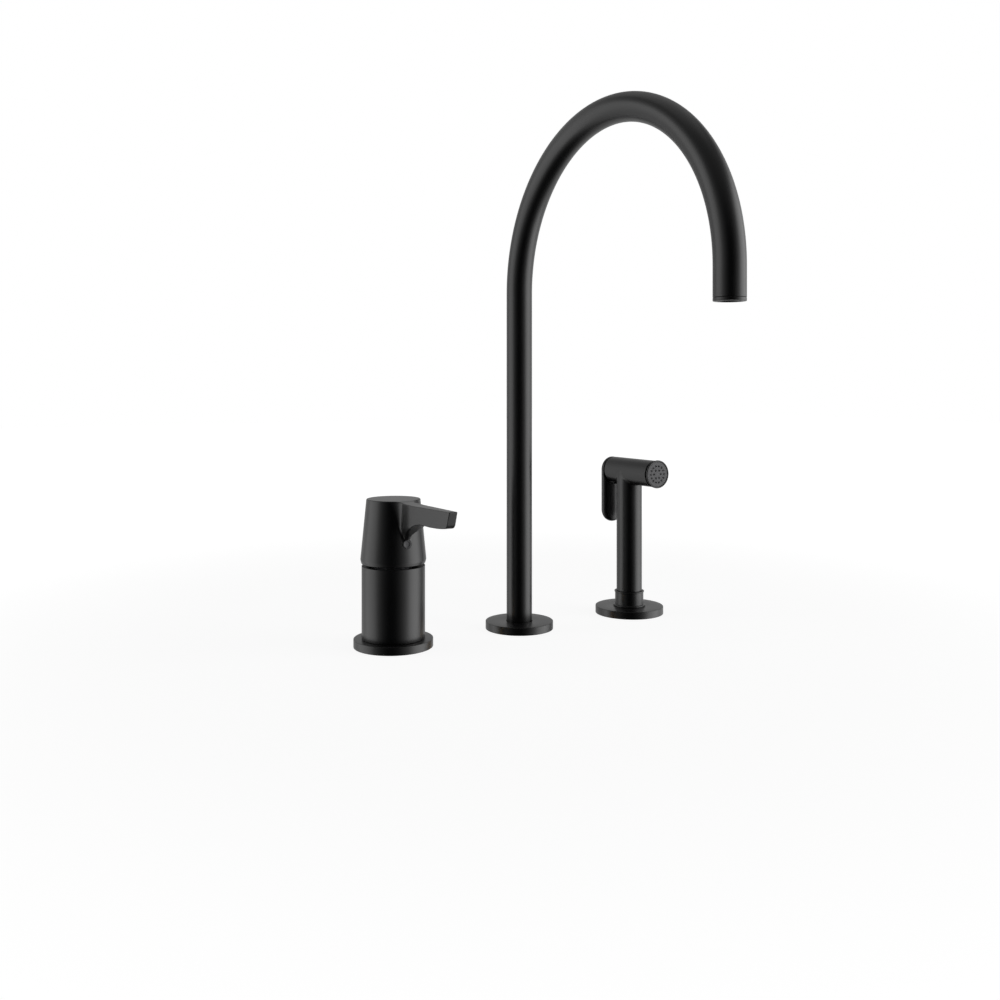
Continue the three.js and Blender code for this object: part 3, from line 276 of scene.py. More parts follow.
@dataclass
class Caster:
    """Casts the surface of a form that is given by its signed distance in millimetres.

    Args:
        low: lowest corner of the space that holds the form.
        high: highest corner.
        step: size of the cells.
        rounds: rounds of moving points onto the surface.
        relax: rounds of evening out the faces.
        pull: how far a point moves towards its neighbours' mean in a round.
        probe: share of a cell over which a slope is measured.
        least: least square of a slope that a point moves by.
    """

    low: Sequence[float]
    high: Sequence[float]
    step: float
    rounds: int = 3
    relax: int = 4
    pull: float = 0.5
    probe: float = 0.05
    least: float = 0.1

    def cells(self, form: Field) -> tuple[np.ndarray, np.ndarray]:
        """Finds the cells that the surface crosses.

        Args:
            form: signed distance at an array of points.

        Returns:
            A point for each crossed cell, and the faces between them.
        """
        axes = [np.arange(a - self.step, b + 2 * self.step, self.step) for a, b in zip(self.low, self.high)]
        grid = np.stack(np.meshgrid(*axes, indexing="ij"), axis=-1)
        value = form(grid)
        shape = tuple(n - 1 for n in value.shape)
        inside = value < 0
        total = np.zeros(shape, int)
        corners = [(i, j, k) for i in (0, 1) for j in (0, 1) for k in (0, 1)]
        for i, j, k in corners:
            total += inside[i:i + shape[0], j:j + shape[1], k:k + shape[2]]
        crossed = (total > 0) & (total < len(corners))
        index = -np.ones(shape, int)
        cell = np.argwhere(crossed)
        index[crossed] = np.arange(len(cell))
        place = np.zeros((len(cell), 3))
        count = np.zeros(len(cell))
        for a in corners:
            for axis in range(3):
                if a[axis]:
                    continue
                b = tuple(v + (n == axis) for n, v in enumerate(a))
                va = value[tuple((cell + a).T)]
                vb = value[tuple((cell + b).T)]
                hit = (va < 0) != (vb < 0)
                share = np.where(hit, va / np.where(hit, va - vb, 1), 0)
                point = np.array(a)[None, :] + share[:, None] * np.eye(3)[axis][None, :]
                place += np.where(hit[:, None], point, 0)
                count += hit
        place = cell + place / count[:, None]
        origin = np.array([axis[0] for axis in axes])
        faces = []
        for axis in range(3):
            u, v = (axis + 1) % 3, (axis + 2) % 3
            edge = np.argwhere(np.diff(inside, axis=axis))
            edge = edge[(edge[:, u] > 0) & (edge[:, v] > 0)
                        & (edge[:, u] < shape[u]) & (edge[:, v] < shape[v])]
            ring = []
            for du, dv in ((-1, -1), (0, -1), (0, 0), (-1, 0)):
                other = edge.copy()
                other[:, u] += du
                other[:, v] += dv
                ring.append(index[tuple(other.T)])
            faces.append(np.stack(ring, axis=1))
        return origin + place * self.step, np.concatenate(faces)

    def slope(self, form: Field, points: np.ndarray) -> np.ndarray:
        """The form's gradient at points."""
        small = self.step * self.probe
        shifts = small * np.eye(3)
        return np.stack([(form(points + d) - form(points - d)) / (2 * small) for d in shifts], axis=-1)

    def settle(self, form: Field, points: np.ndarray) -> np.ndarray:
        """Moves points onto the surface.

        Args:
            form: signed distance at an array of points.
            points: the points.

        Returns:
            The moved points.
        """
        for _ in range(self.rounds):
            slope = self.slope(form, points)
            size = np.maximum((slope ** 2).sum(axis=1), self.least)
            shift = (form(points) / size)[:, None] * slope
            length = np.linalg.norm(shift, axis=1, keepdims=True)
            points = points - shift * np.minimum(1, self.step / np.maximum(length, TINY))
        return points

    def cast(self, form: Field) -> tuple[np.ndarray, np.ndarray, np.ndarray]:
        """Casts the form.

        Args:
            form: signed distance at an array of points.

        Returns:
            Points, faces and exact normals.
        """
        points, faces = self.cells(form)
        points = self.settle(form, points)
        ends = np.concatenate([faces[:, [i, (i + 1) % 4]] for i in range(4)])
        ends = np.concatenate([ends, ends[:, ::-1]])
        number = np.maximum(np.bincount(ends[:, 0], minlength=len(points)), 1)[:, None]
        for _ in range(self.relax):
            mean = np.stack([np.bincount(ends[:, 0], weights=points[ends[:, 1], i], minlength=len(points))
                             for i in range(3)], axis=1) / number
            normal = self.unit(self.slope(form, points))
            move = (mean - points) * self.pull
            move -= (move * normal).sum(axis=1, keepdims=True) * normal
            points = self.settle(form, points + move)
        return points, faces, self.unit(self.slope(form, points))

    @staticmethod
    def unit(vectors: np.ndarray) -> np.ndarray:
        """Vectors of length one."""
        return vectors / np.maximum(np.linalg.norm(vectors, axis=1, keepdims=True), TINY)


def cast_solid(name: str, form: Field, space: Caster, place: Matrix) -> bpy.types.Object:
    """Casts a form as one object.

    Args:
        name: the object's name.
        form: signed distance of the form.
        space: what it is cast in.
        place: where it stands in the frame.

    Returns:
        The object.
    """
    points, faces, normals = space.cast(form)
    return solid(name, points, faces, place, normals)


# ---------- finishes ----------
class Grain(Enum):
    """How a finish's surface is broken up."""

    SPRAYED = "sprayed"
    TURNED = "turned"
    MOULDED = "moulded"
    ROLLED = "rolled"


def new_group(name: str, inputs: Sequence[str], outputs: Sequence[str]) -> bpy.types.NodeTree:
    """Starts a node group.

    Args:
        name: the group's name.
        inputs: its number inputs.
        outputs: its number outputs.

    Returns:
        The group, with its input and output nodes.
    """
    tree = bpy.data.node_groups.new(name, "ShaderNodeTree")
    for keys, way in ((inputs, "INPUT"), (outputs, "OUTPUT")):
        for key in keys:
            tree.interface.new_socket(key, in_out=way, socket_type="NodeSocketFloat")
    tree.nodes.new("NodeGroupInput")
    tree.nodes.new("NodeGroupOutput")
    return tree


def maths(tree: bpy.types.NodeTree, operation: str, *values: object) -> bpy.types.NodeSocket:
    """Adds a maths node.

    Args:
        tree: the node tree.
        operation: what the node does.
        values: its inputs, as numbers or sockets.

    Returns:
        Its output.
    """
    node = tree.nodes.new("ShaderNodeMath")
    node.operation = operation
    for i, value in enumerate(values):
        if isinstance(value, bpy.types.NodeSocket):
            tree.links.new(value, node.inputs[i])
        else:
            node.inputs[i].default_value = value
    return node.outputs[0]


def coordinates(tree: bpy.types.NodeTree, scale: Sequence[float]) -> bpy.types.NodeSocket:
    """Adds the piece's own coordinates.

    Args:
        tree: the node tree.
        scale: factor that stretches them along each axis.

    Returns:
        The stretched coordinates.
    """
    place = tree.nodes.new("ShaderNodeTexCoord")
    stretch = tree.nodes.new("ShaderNodeVectorMath")
    stretch.operation = "MULTIPLY"
    stretch.inputs[1].default_value = scale
    tree.links.new(place.outputs["Object"], stretch.inputs[0])
    return stretch.outputs[0]


def noise(tree: bpy.types.NodeTree, place: bpy.types.NodeSocket, scale: bpy.types.NodeSocket,
          detail: float) -> bpy.types.NodeSocket:
    """Adds a noise texture.

    Args:
        tree: the node tree.
        place: the coordinates that it follows.
        scale: its scale.
        detail: how many finer layers it has.

    Returns:
        Its value.
    """
    node = tree.nodes.new("ShaderNodeTexNoise")
    node.inputs["Detail"].default_value = detail
    tree.links.new(place, node.inputs["Vector"])
    tree.links.new(scale, node.inputs["Scale"])
    return node.outputs["Fac"]


GRAIN_STRETCH = {
    Grain.SPRAYED: (1.0, 1.0, 1.0),
    Grain.TURNED: (0.04, 0.04, 1.0),
    Grain.MOULDED: (1.0, 1.0, 1.0),
    Grain.ROLLED: (0.15, 1.0, 1.0),
}


def grain_group(grain: Grain) -> bpy.types.NodeTree:
    """The fine grain of a finish, made once and shared.

    Args:
        grain: how the surface is broken up.

    Returns:
        A group with the inputs Fine and Broad, in grains per metre, and the outputs Height and Cloud.
    """
    name = f"{grain.value}_grain"
    if name in bpy.data.node_groups:
        return bpy.data.node_groups[name]
    tree = new_group(name, ("Fine", "Broad"), ("Height", "Cloud"))
    given, out = tree.nodes["Group Input"], tree.nodes["Group Output"]
    place = coordinates(tree, GRAIN_STRETCH[grain])
    for source, result, detail in (("Fine", "Height", 2.0), ("Broad", "Cloud", 3.0)):
        tree.links.new(noise(tree, place, given.outputs[source], detail), out.inputs[result])
    return tree


@dataclass(frozen=True)
class Finish:
    """A finish of the faucet's pieces.

    Args:
        slot: the record's slot that it belongs to.
        grain: how its surface is broken up.
        dark: colour of its darker places.
        light: colour of its lighter places.
        smooth: roughness of its smoother places.
        rough: roughness of its rougher places.
        fine: fine grains per metre.
        broad: patches per metre.
        relief: strength of the grain's relief.
        metal: 1 for bare metal.
        specular: strength of the reflection.
        grain_depth: depth of a grain as a share of its width.
    """

    slot: str
    grain: Grain
    dark: Colour
    light: Colour
    smooth: float
    rough: float
    fine: float = 2500.0
    broad: float = 60.0
    relief: float = 0.1
    metal: float = 0.0
    specular: float = 0.5
    grain_depth: float = 0.5

    def material(self) -> bpy.types.Material:
        """The finish's material, made once.

        Returns:
            The material.
        """
        name = f"{self.grain.value}_{self.slot}"
        if name in bpy.data.materials:
            return bpy.data.materials[name]
        made = bpy.data.materials.new(name)
        made.use_nodes = True
        tree = made.node_tree
        shader = tree.nodes["Principled BSDF"]
        shader.inputs["Metallic"].default_value = self.metal
        shader.inputs["Specular IOR Level"].default_value = self.specular
        grain = tree.nodes.new("ShaderNodeGroup")
        grain.node_tree = grain_group(self.grain)
        grain.inputs["Fine"].default_value = self.fine
        grain.inputs["Broad"].default_value = self.broad
        colour = tree.nodes.new("ShaderNodeMix")
        colour.data_type = "RGBA"
        colour.inputs["A"].default_value = (*self.dark, 1)
        colour.inputs["B"].default_value = (*self.light, 1)
        tree.links.new(grain.outputs["Cloud"], colour.inputs["Factor"])
        tree.links.new(colour.outputs["Result"], shader.inputs["Base Color"])
        spread = tree.nodes.new("ShaderNodeMapRange")
        spread.inputs["To Min"].default_value = self.smooth
        spread.inputs["To Max"].default_value = self.rough
        tree.links.new(grain.outputs["Cloud"], spread.inputs["Value"])
        tree.links.new(spread.outputs["Result"], shader.inputs["Roughness"])
        bump = tree.nodes.new("ShaderNodeBump")
        bump.inputs["Strength"].default_value = self.relief
        bump.inputs["Distance"].default_value = self.grain_depth / self.fine
        tree.links.new(grain.outputs["Height"], bump.inputs["Height"])
        tree.links.new(bump.outputs["Normal"], shader.inputs["Normal"])
        return made

    def dress(self, piece: bpy.types.Object, body: str, *nodes: str) -> bpy.types.Object:
        """Finishes a piece and ties it to the frame.

        Args:
            piece: the piece, in its place.
            body: the CAD body that it moves with.
            nodes: the CAD nodes that it stands for.

        Returns:
            The piece.
        """
        piece.data.materials.clear()
        piece.data.materials.append(self.material())
        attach(piece, body)
        if nodes:
            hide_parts(*nodes)
        log.info("%s rides on %s in %s", piece.name, body, self.slot)
        return piece


MATTE_BLACK = Finish("matte_black", Grain.SPRAYED, (0.0012, 0.0012, 0.0015), (0.0022, 0.0022, 0.0027),
                     0.31, 0.37, fine=2600, broad=35, relief=0.04)
BRASS = Finish("brass", Grain.TURNED, (0.55, 0.36, 0.13), (0.68, 0.48, 0.20), 0.22, 0.42,
               fine=5200, broad=160, relief=0.12, metal=1.0)
STEEL = Finish("steel", Grain.ROLLED, (0.46, 0.46, 0.47), (0.62, 0.62, 0.63), 0.25, 0.42,
               fine=3800, broad=120, relief=0.1, metal=1.0)
RUBBER = Finish("rubber", Grain.MOULDED, (0.012, 0.012, 0.012), (0.024, 0.024, 0.023), 0.62, 0.8,
                fine=3000, broad=90, relief=0.15, specular=0.35)
DARK_PLASTIC = Finish("dark_plastic", Grain.MOULDED, (0.05, 0.05, 0.054), (0.075, 0.075, 0.08),
                      0.42, 0.55, fine=4200, broad=150, relief=0.08)
WHITE_PLASTIC = Finish("white_plastic", Grain.MOULDED, (0.70, 0.70, 0.67), (0.80, 0.80, 0.77), 0.38, 0.5,
                       fine=2800, broad=100, relief=0.05)
CERAMIC = Finish("ceramic", Grain.MOULDED, (0.78, 0.76, 0.72), (0.86, 0.85, 0.82), 0.15, 0.25,
                 fine=6000, broad=200, relief=0.02)
FINISHES = {f.slot: f for f in (MATTE_BLACK, BRASS, STEEL, RUBBER, DARK_PLASTIC, WHITE_PLASTIC, CERAMIC)}


def turned(name: str, corners: Sequence[Corner], place: Matrix, segments: int = SEGMENTS) -> bpy.types.Object:
    """A turned piece with rounded edges.

    Args:
        name: the piece's name.
        corners: the closed outline's corners.
        place: where the piece's axis stands.
        segments: steps round the axis.

    Returns:
        The piece.
    """
    return solid(name, *Lathe(segments).data(rounded(corners)), place)


@dataclass(frozen=True)
class Thread:
    """An outer screw thread, in millimetres.

    Args:
        radius: its outer radius.
        low: its lower end.
        high: its upper end.
        pitch: from one turn to the next.
        depth: depth of the groove.
    """

    radius: float
    low: float
    high: float = THREAD_TOP
    pitch: float = 1.5
    depth: float = 0.75

    def wall(self) -> list[Point]:
        """The threaded wall's points, from the lower to the upper end."""
        rows = int((self.high - self.low) / self.pitch * THREAD_ROWS)
        return [(self.radius, self.low + (self.high - self.low) * i / rows) for i in range(rows + 1)]

    def groove(self, r: float, z: float, angle: float) -> float:
        """The thread's radius at a height and angle, for a point of the wall.

        Args:
            r: the point's own radius.
            z: its height.
            angle: its angle about the axis.

        Returns:
            Its radius in the thread, which fades out at both ends.
        """
        if r < self.radius - TINY or z < self.low - TINY or z > self.high + TINY:
            return r
        turn = (z / self.pitch - angle / (2 * math.pi)) % 1
        fade = min(1.0, (z - self.low) / self.pitch, (self.high - z) / self.pitch)
        lead = self.depth * max(0.0, 1 - (z - self.low) / self.pitch)
        return r - self.depth * fade * min(1.0, THREAD_FLANK * abs(2 * turn - 1)) - lead

    def cut(self, name: str, foot: Sequence[Point], head: Sequence[Point], place: Matrix,
            segments: int = SEGMENTS) -> bpy.types.Object:
        """Turns a piece that carries the thread.

        Args:
            name: the piece's name.
            foot: outline from the bore to the thread's lower end.
            head: outline from the thread's upper end to the bore.
            place: where the axis stands.
            segments: steps round the axis.

        Returns:
            The piece.
        """
        return solid(name, *Lathe(segments, shape=self.groove).data([*foot, *self.wall(), *head]), place)


@dataclass
class Clamp:
    """What holds one unit to the worktop: gasket, rubber and steel washers, and nut.

    Args:
        unit: name of the unit, which starts the names of its nodes.
        shank_r: radius of the threaded shank, in millimetres.
    """

    unit: str
    shank_r: float
    rings: tuple[tuple[str, Finish, float], ...] = (
        ("gasket", RUBBER, 0.25), ("rubber_washer", RUBBER, 0.5), ("steel_washer", STEEL, 0.3))
    nut_rows: tuple[float, ...] = (0.0, 0.25, 0.5, 0.8, 1.2, 1.7)
    nut_inset: float = 0.4
    nut_bevel: float = 0.8
    crown_inset: float = 0.2
    crown_slope: float = 1.75

    def build(self) -> None:
        """Builds and dresses the pieces, on the fixed body."""
        x = middle(f"{self.unit}_flange").x / MM
        for part, finish, edge in self.rings:
            node = f"{self.unit}_{part}"
            outer = high_mm(node, 0) - x
            inner = outer - GASKET_WIDTH if part == "gasket" else self.shank_r + FIT_GAP
            low, high = low_mm(node, 2), high_mm(node, 2)
            corners = [Corner(inner, low, edge), Corner(outer, low, edge), Corner(outer, high, edge),
                       Corner(inner, high, edge)]
            finish.dress(turned(node + "_ring", corners, upright(x)), "fixed_set", node)
        self.nut(x)

    def nut(self, x: float) -> None:
        """Builds and dresses the hexagonal nut.

        Args:
            x: where the unit's axis stands, in millimetres.
        """
        node = f"{self.unit}_nut"
        corner_r = high_mm(node, 0) - x
        flat = corner_r * math.cos(math.pi / 6)
        low, high = low_mm(node, 2), high_mm(node, 2)
        inner, bevel = self.shank_r + FIT_GAP, self.nut_bevel
        outline = [(flat - self.nut_inset, low)]
        outline += [(corner_r, low + d) for d in self.nut_rows]
        outline += [(corner_r, high - d) for d in reversed(self.nut_rows)]
        outline += [(flat - self.nut_inset, high), (inner + bevel, high), (inner, high - bevel),
                    (inner, low + bevel), (inner + bevel, low)]

        def hexagon(r: float, z: float, angle: float) -> float:
            """Shapes the nut's outer wall, cut back by a chamfer at each end.

            Args:
                r: the point's own radius.
                z: its height.
                angle: its angle about the axis.

            Returns:
                Its radius on the hexagon.
            """
            if r < corner_r - TINY:
                return r
            turn = (angle + math.pi / 6) % (math.pi / 3) - math.pi / 6
            wall = flat / math.cos(math.pi / 6 - abs(turn))
            return min(wall, flat - self.crown_inset + self.crown_slope * min(z - low, high - z))

        made = solid(node + "_hex", *Lathe(SEGMENTS, shape=hexagon).data(outline), upright(x))
        BRASS.dress(made, "fixed_set", node)


def base_plate(unit: str, hole_r: float, place: Matrix) -> None:
    """Builds and dresses a round base plate with a softly rounded rim.

    Args:
        unit: the unit's name.
        hole_r: radius of its hole, in millimetres.
        place: where its axis stands.
    """
    node, gasket = f"{unit}_flange", f"{unit}_gasket"
    outer, recess_r = radius_mm(node), radius_mm(gasket) + FIT_GAP
    low, high, recess = low_mm(node, 2), high_mm(node, 2), high_mm(gasket, 2) + SKIM_GAP
    corners = [Corner(hole_r, recess, HAIR_EDGE), Corner(recess_r, recess, FINE_EDGE),
               Corner(recess_r, low, FINE_EDGE), Corner(outer, low, FOOT_EDGE),
               Corner(outer, high, RIM_EDGE), Corner(hole_r, high, FINE_EDGE)]
    MATTE_BLACK.dress(turned(f"{unit}_base_plate", corners, place, RIM_SEGMENTS), "fixed_set", node)


@dataclass
class DishedPlug:
    """A round plug with a dished face inside a rim, in millimetres.

    Args:
        name: the piece's name.
        node: the CAD node that it stands for.
        body: the CAD body that it moves with.
        foot_edge: rounding of its inner end.
        rim_w: width of the rim.
        rim_edge: rounding of the rim's inner edge.
        dish_h: depth of the dish beside the rim.
        middle_h: depth of the dish in the middle.
    """

    name: str
    node: str
    body: str
    foot_edge: float
    rim_w: float
    rim_edge: float
    dish_h: float
    middle_h: float
    outer_edge: float = 0.3
    wall_w: float = 0.4

    def build(self, foot: float, face: float, place: Matrix) -> None:
        """Builds and dresses the plug.

        Args:
            foot: where its inner end lies along the axis.
            face: where its rim lies.
            place: where the axis stands.
        """
        r, inner = radius_mm(self.node), radius_mm(self.node) - self.rim_w
        corners = [Corner(0, foot), Corner(r, foot, self.foot_edge), Corner(r, face, self.outer_edge),
                   Corner(inner, face, self.rim_edge),
                   Corner(inner - self.wall_w, face - self.dish_h, FINE_EDGE),
                   Corner(0, face - self.middle_h)]
        DARK_PLASTIC.dress(turned(self.name, corners, place, SMALL_SEGMENTS), self.body, self.node)


# ---------- mixer ----------
@dataclass
class WaterTail:
    """A water inlet or outlet of the mixer with its threaded tail, in millimetres.

    Args:
        node: the CAD node that it stands for.
    """

    node: str
    tail_r: float = 5.0
    bore_r: float = 2.8
    mouth_r: float = 4.4
    thread_h: float = 9.0
    thread_pitch: float = 1.0
    thread_depth: float = 0.45
    tail_h: float = 10.0
    neck_r: float = 4.2
    collar_r: float = 5.3
    collar_low: float = 6.7
    collar_high: float = 12.7
    spigot_r: float = 4.8

    def build(self) -> None:
        """Builds and dresses the tail."""
        spot = middle(self.node)
        low, high = low_mm(self.node, 2), high_mm(self.node, 2)
        screw = Thread(self.tail_r, low, low + self.thread_h, self.thread_pitch, self.thread_depth)
        head = [(self.tail_r, low + self.tail_h), (self.neck_r, low + self.tail_h),
                (self.neck_r, self.collar_low), (self.collar_r, self.collar_low),
                (self.collar_r, self.collar_high), (self.spigot_r, self.collar_high),
                (self.spigot_r, high), (self.bore_r, high)]
        made = screw.cut(self.node + "_tail", [(self.bore_r, low), (self.mouth_r, low)], head,
                         Matrix.Translation((spot.x, spot.y, 0)), SMALL_SEGMENTS)
        BRASS.dress(made, "fixed_set", self.node)


@dataclass
class Mixer:
    """The single lever mixer without its handle, in millimetres."""

    body_r: float = 23.15
    body_top: float = 59.7
    bowl_r: float = 24.948
    bowl_steps: int = 7
    pivot_z: float = 69.0
    thread_r: float = 18.9
    thread_foot: float = 47.1
    chamber_r: float = 17.8
    chamber_foot: float = 18.0
    well_r: float = 13.0
    well_foot: float = 13.0
    shank_r: float = 16.0
    shank_bore: float = 13.2
    shank_bevel: float = 0.5
    edge: float = 0.45

    @property
    def place(self) -> Matrix:
        """Where the mixer's axis stands."""
        return upright(middle("mixer_flange").x / MM)

    def build(self) -> None:
        """Builds and dresses the mixer's base, body, shank and water tails."""
        base_plate("mixer", self.shank_r + FIT_GAP, self.place)
        Clamp("mixer", self.shank_r).build()
        self.body()
        self.shank()
        for node in ("hot_inlet", "cold_inlet", "mixed_outlet"):
            WaterTail(node).build()

    def body(self) -> None:
        """Builds and dresses the cylindrical body with the bowl under the handle."""
        low = low_mm("mixer_body", 2)
        first = math.asin(self.body_r / self.bowl_r)
        last = math.asin(self.thread_r / self.bowl_r)
        bowl = [Corner(self.bowl_r * math.sin(a), self.pivot_z - self.bowl_r * math.cos(a))
                for a in np.linspace(first, last, self.bowl_steps)[1:]]
        corners = [Corner(self.shank_r, low, FINE_EDGE), Corner(self.body_r, low, self.edge),
                   Corner(self.body_r, self.body_top, self.edge), *bowl,
                   Corner(self.thread_r, self.thread_foot), Corner(self.chamber_r, self.thread_foot),
                   Corner(self.chamber_r, self.chamber_foot), Corner(self.well_r, self.chamber_foot),
                   Corner(self.well_r, self.well_foot), Corner(self.shank_r, self.well_foot)]
        MATTE_BLACK.dress(turned("mixer_body_shell", corners, self.place), "fixed_set", "mixer_body")

    def shank(self) -> None:
        """Builds and dresses the threaded shank under the body."""
        low, high = low_mm("mixer_shank", 2), high_mm("mixer_shank", 2)
        foot = [(self.shank_bore, low + self.shank_bevel), (self.shank_bore + self.shank_bevel, low)]
        made = Thread(self.shank_r, low).cut("mixer_shank_thread", foot,
                                             [(self.shank_r, high), (self.shank_bore, high)], self.place)
        BRASS.dress(made, "fixed_set", "mixer_shank")


# ---------- handle ----------
@dataclass
class Handle:
    """The tapering handle with its blade lever, in millimetres about the mixer's axis."""

    rim_z: float = 61.0
    rim_r: float = 23.31
    rim_edge: float = 0.3
    rim_foot_edge: float = 0.25
    rim_reach: float = 6.0
    edge_z: float = 63.7
    edge_r: float = 24.07
    top_z: float = 107.9
    top_r: float = 19.75
    wall: float = 2.2
    roof_t: float = 8.0
    room_edge: float = 1.0
    boss_r: float = 6.5
    boss_z: float = 75.0
    rib_w: float = 8.0
    spindle_half: float = 3.65
    socket_h: float = 3.7
    grub_z: float = 77.3
    grub_r: float = 2.3
    plug_r: float = 3.2
    plug_back: float = 20.7
    length: float = 92.5
    tip_rise: float = -0.1
    dip: float = 0.9
    dip_l: float = 40.0
    dip_first: float = 0.6
    dip_before: float = 1.0
    dip_after: float = 4.0
    tip_h: float = 11.4
    tip_rake: float = 4.0
    tip_w: float = 6.4
    tip_sag: float = 0.9
    tip_corner: float = 2.5
    run_out: Point = (30.0, 3.0)
    mid_l: float = 39.0
    mid_w: float = 10.8
    neck_l: float = 24.0
    neck_w: float = 9.2
    under_l: float = 54.0
    under_h: float = 12.9
    keel_l: float = 38.0
    keel_sag: float = 0.5
    keel_proud: float = 0.2
    keel_root: Point = (0.4, 6.0)
    keel_lap: float = 0.6
    keel_foot_lap: float = 0.15
    keel_foot_w: float = 5.6
    keel_top_w: float = 15.0
    keel_steepest: float = 6.0
    blade_edge: float = 0.45
    hub_edge: float = 0.6
    fillet_low: float = 2.4
    fillet_high: float = 6.0
    fillet_z: float = 92.0
    fillet_h: float = 14.0
    keel_edge: float = 2.6
    keel_soft_z: float = 91.0
    keel_soft_h: float = 6.0
    step: float = 0.55

    @property
    def slope(self) -> float:
        """How much the wall's radius shrinks with each millimetre of height."""
        return (self.edge_r - self.top_r) / (self.top_z - self.edge_z)

    def build(self) -> None:
        """Casts and dresses the handle, and builds the plug over its grub screw."""
        x = middle("mixer_body").x / MM
        space = Caster((-self.edge_r, -self.length, self.rim_z),
                       (self.edge_r, self.edge_r, self.top_z), self.step)
        made = cast_solid("handle_and_lever", self.form, space, upright(x))
        MATTE_BLACK.dress(made, "handle", "mixer_handle")
        plug = DishedPlug("screw_plug", "handle_plug", "handle", foot_edge=FINE_EDGE, rim_w=0.7,
                          rim_edge=0.25, dish_h=0.4, middle_h=0.55)
        plug.build(-high_mm(plug.node, 1), -low_mm(plug.node, 1), forwards(x, self.grub_z))

    @staticmethod
    def bezier(a: Point, b: Point, c: Point, count: int = 40) -> list[Point]:
        """Points of a quadratic curve."""
        return [tuple((1 - t) ** 2 * a[i] + 2 * t * (1 - t) * b[i] + t * t * c[i] for i in (0, 1))
                for t in np.linspace(0, 1, count)]

    def underside(self) -> tuple[np.ndarray, np.ndarray]:
        """The lever's lower edge seen from the side.

        Returns:
            Distances from the axis, rising, and the height at each.
        """
        under = self.top_z - self.under_h
        foot = self.grub_z + self.plug_r - self.keel_lap
        foot_l = self.top_r + self.slope * (self.top_z - foot)
        tip = (self.length - self.tip_rake, self.top_z + self.tip_rise - self.tip_h)
        line = [(tip[0] + self.run_out[0], tip[1] + self.run_out[1])]
        line += self.bezier(tip, ((self.length + self.under_l) / 2, under - self.tip_sag),
                            (self.under_l, under))
        line += self.bezier((self.under_l, under), (self.keel_l, under - self.keel_sag),
                            (foot_l + self.keel_proud, foot))[1:]
        line += [(foot_l - self.keel_root[0], foot - self.keel_root[1])]
        table = np.array(line[::-1])
        return table[:, 0], table[:, 1]

    def form(self, p: np.ndarray) -> np.ndarray:
        """Signed distance of the handle.

        Args:
            p: points, in millimetres.

        Returns:
            Their distance from the surface, negative inside.
        """
        x, y, z = p[..., 0], p[..., 1], p[..., 2]
        reach, rho = -y, np.hypot(x, y)
        cone = (rho - self.edge_r + self.slope * (z - self.edge_z)) / math.hypot(1, self.slope)
        blend = np.clip((z - self.fillet_z) / self.fillet_h, 0, 1)
        fillet = self.fillet_low + (self.fillet_high - self.fillet_low) * blend
        body = smooth_join(cone, self.blade(x, reach, z), fillet)
        dip_at = [self.top_r - self.dip_before, self.top_r + self.dip_after, self.dip_l, self.length]
        rise = np.interp(reach, dip_at, [0, -self.dip_first * self.dip, -self.dip, self.tip_rise])
        body = smooth_cut(body, z - self.top_z - rise, self.hub_edge)
        rim_w, rim_h = self.edge_r - self.rim_r, self.edge_z - self.rim_z
        rim = ((rho - self.edge_r) * rim_h - (z - self.edge_z) * rim_w) / math.hypot(rim_w, rim_h)
        body = smooth_cut(body, np.where(z < self.edge_z + self.rim_reach, rim, -FAR), self.rim_edge)
        body = smooth_cut(body, self.rim_z - z, self.rim_foot_edge)
        return self.hollow(body, x, y, z, rho)

    def blade(self, x: np.ndarray, reach: np.ndarray, z: np.ndarray) -> np.ndarray:
        """Signed distance of the lever's blade and keel.

        Args:
            x: distance to the right of the lever's middle.
            reach: distance in front of the axis.
            z: height.

        Returns:
            The distance from the surface, negative inside.
        """
        taper = (self.mid_w - self.tip_w) / 2 / (self.length - self.mid_l)
        flare = np.clip((reach - self.neck_l) / (self.mid_l - self.neck_l), 0, 1)
        flare = flare * flare * (3 - 2 * flare)
        wide = self.mid_w / 2 - taper * (reach - self.mid_l)
        side = np.abs(x) - self.neck_w / 2 - (wide - self.neck_w / 2) * flare
        tip_top = self.top_z + self.tip_rise
        end = (reach - self.length) * self.tip_h - (z - tip_top) * self.tip_rake
        end = end / math.hypot(self.tip_h, self.tip_rake)
        at, height = self.underside()
        steep = np.interp(reach, at, np.gradient(height, at))
        steep = np.clip(steep, -self.keel_steepest, self.keel_steepest)
        under = (np.interp(reach, at, height) - z) / np.sqrt(1 + steep ** 2)
        foot = self.grub_z + self.plug_r - self.keel_foot_lap
        widen = (self.keel_top_w - self.keel_foot_w) / 2 / (self.top_z - self.under_h - foot)
        keel = (np.abs(x) - self.keel_foot_w / 2 - (z - foot) * widen) / math.hypot(1, widen)
        edge = self.blade_edge + self.keel_edge * np.clip((self.keel_soft_z - z) / self.keel_soft_h, 0, 1)
        form = smooth_cut(side, smooth_cut(end, under, self.tip_corner), edge)
        return np.maximum(smooth_cut(form, keel, edge + self.blade_edge), -reach)

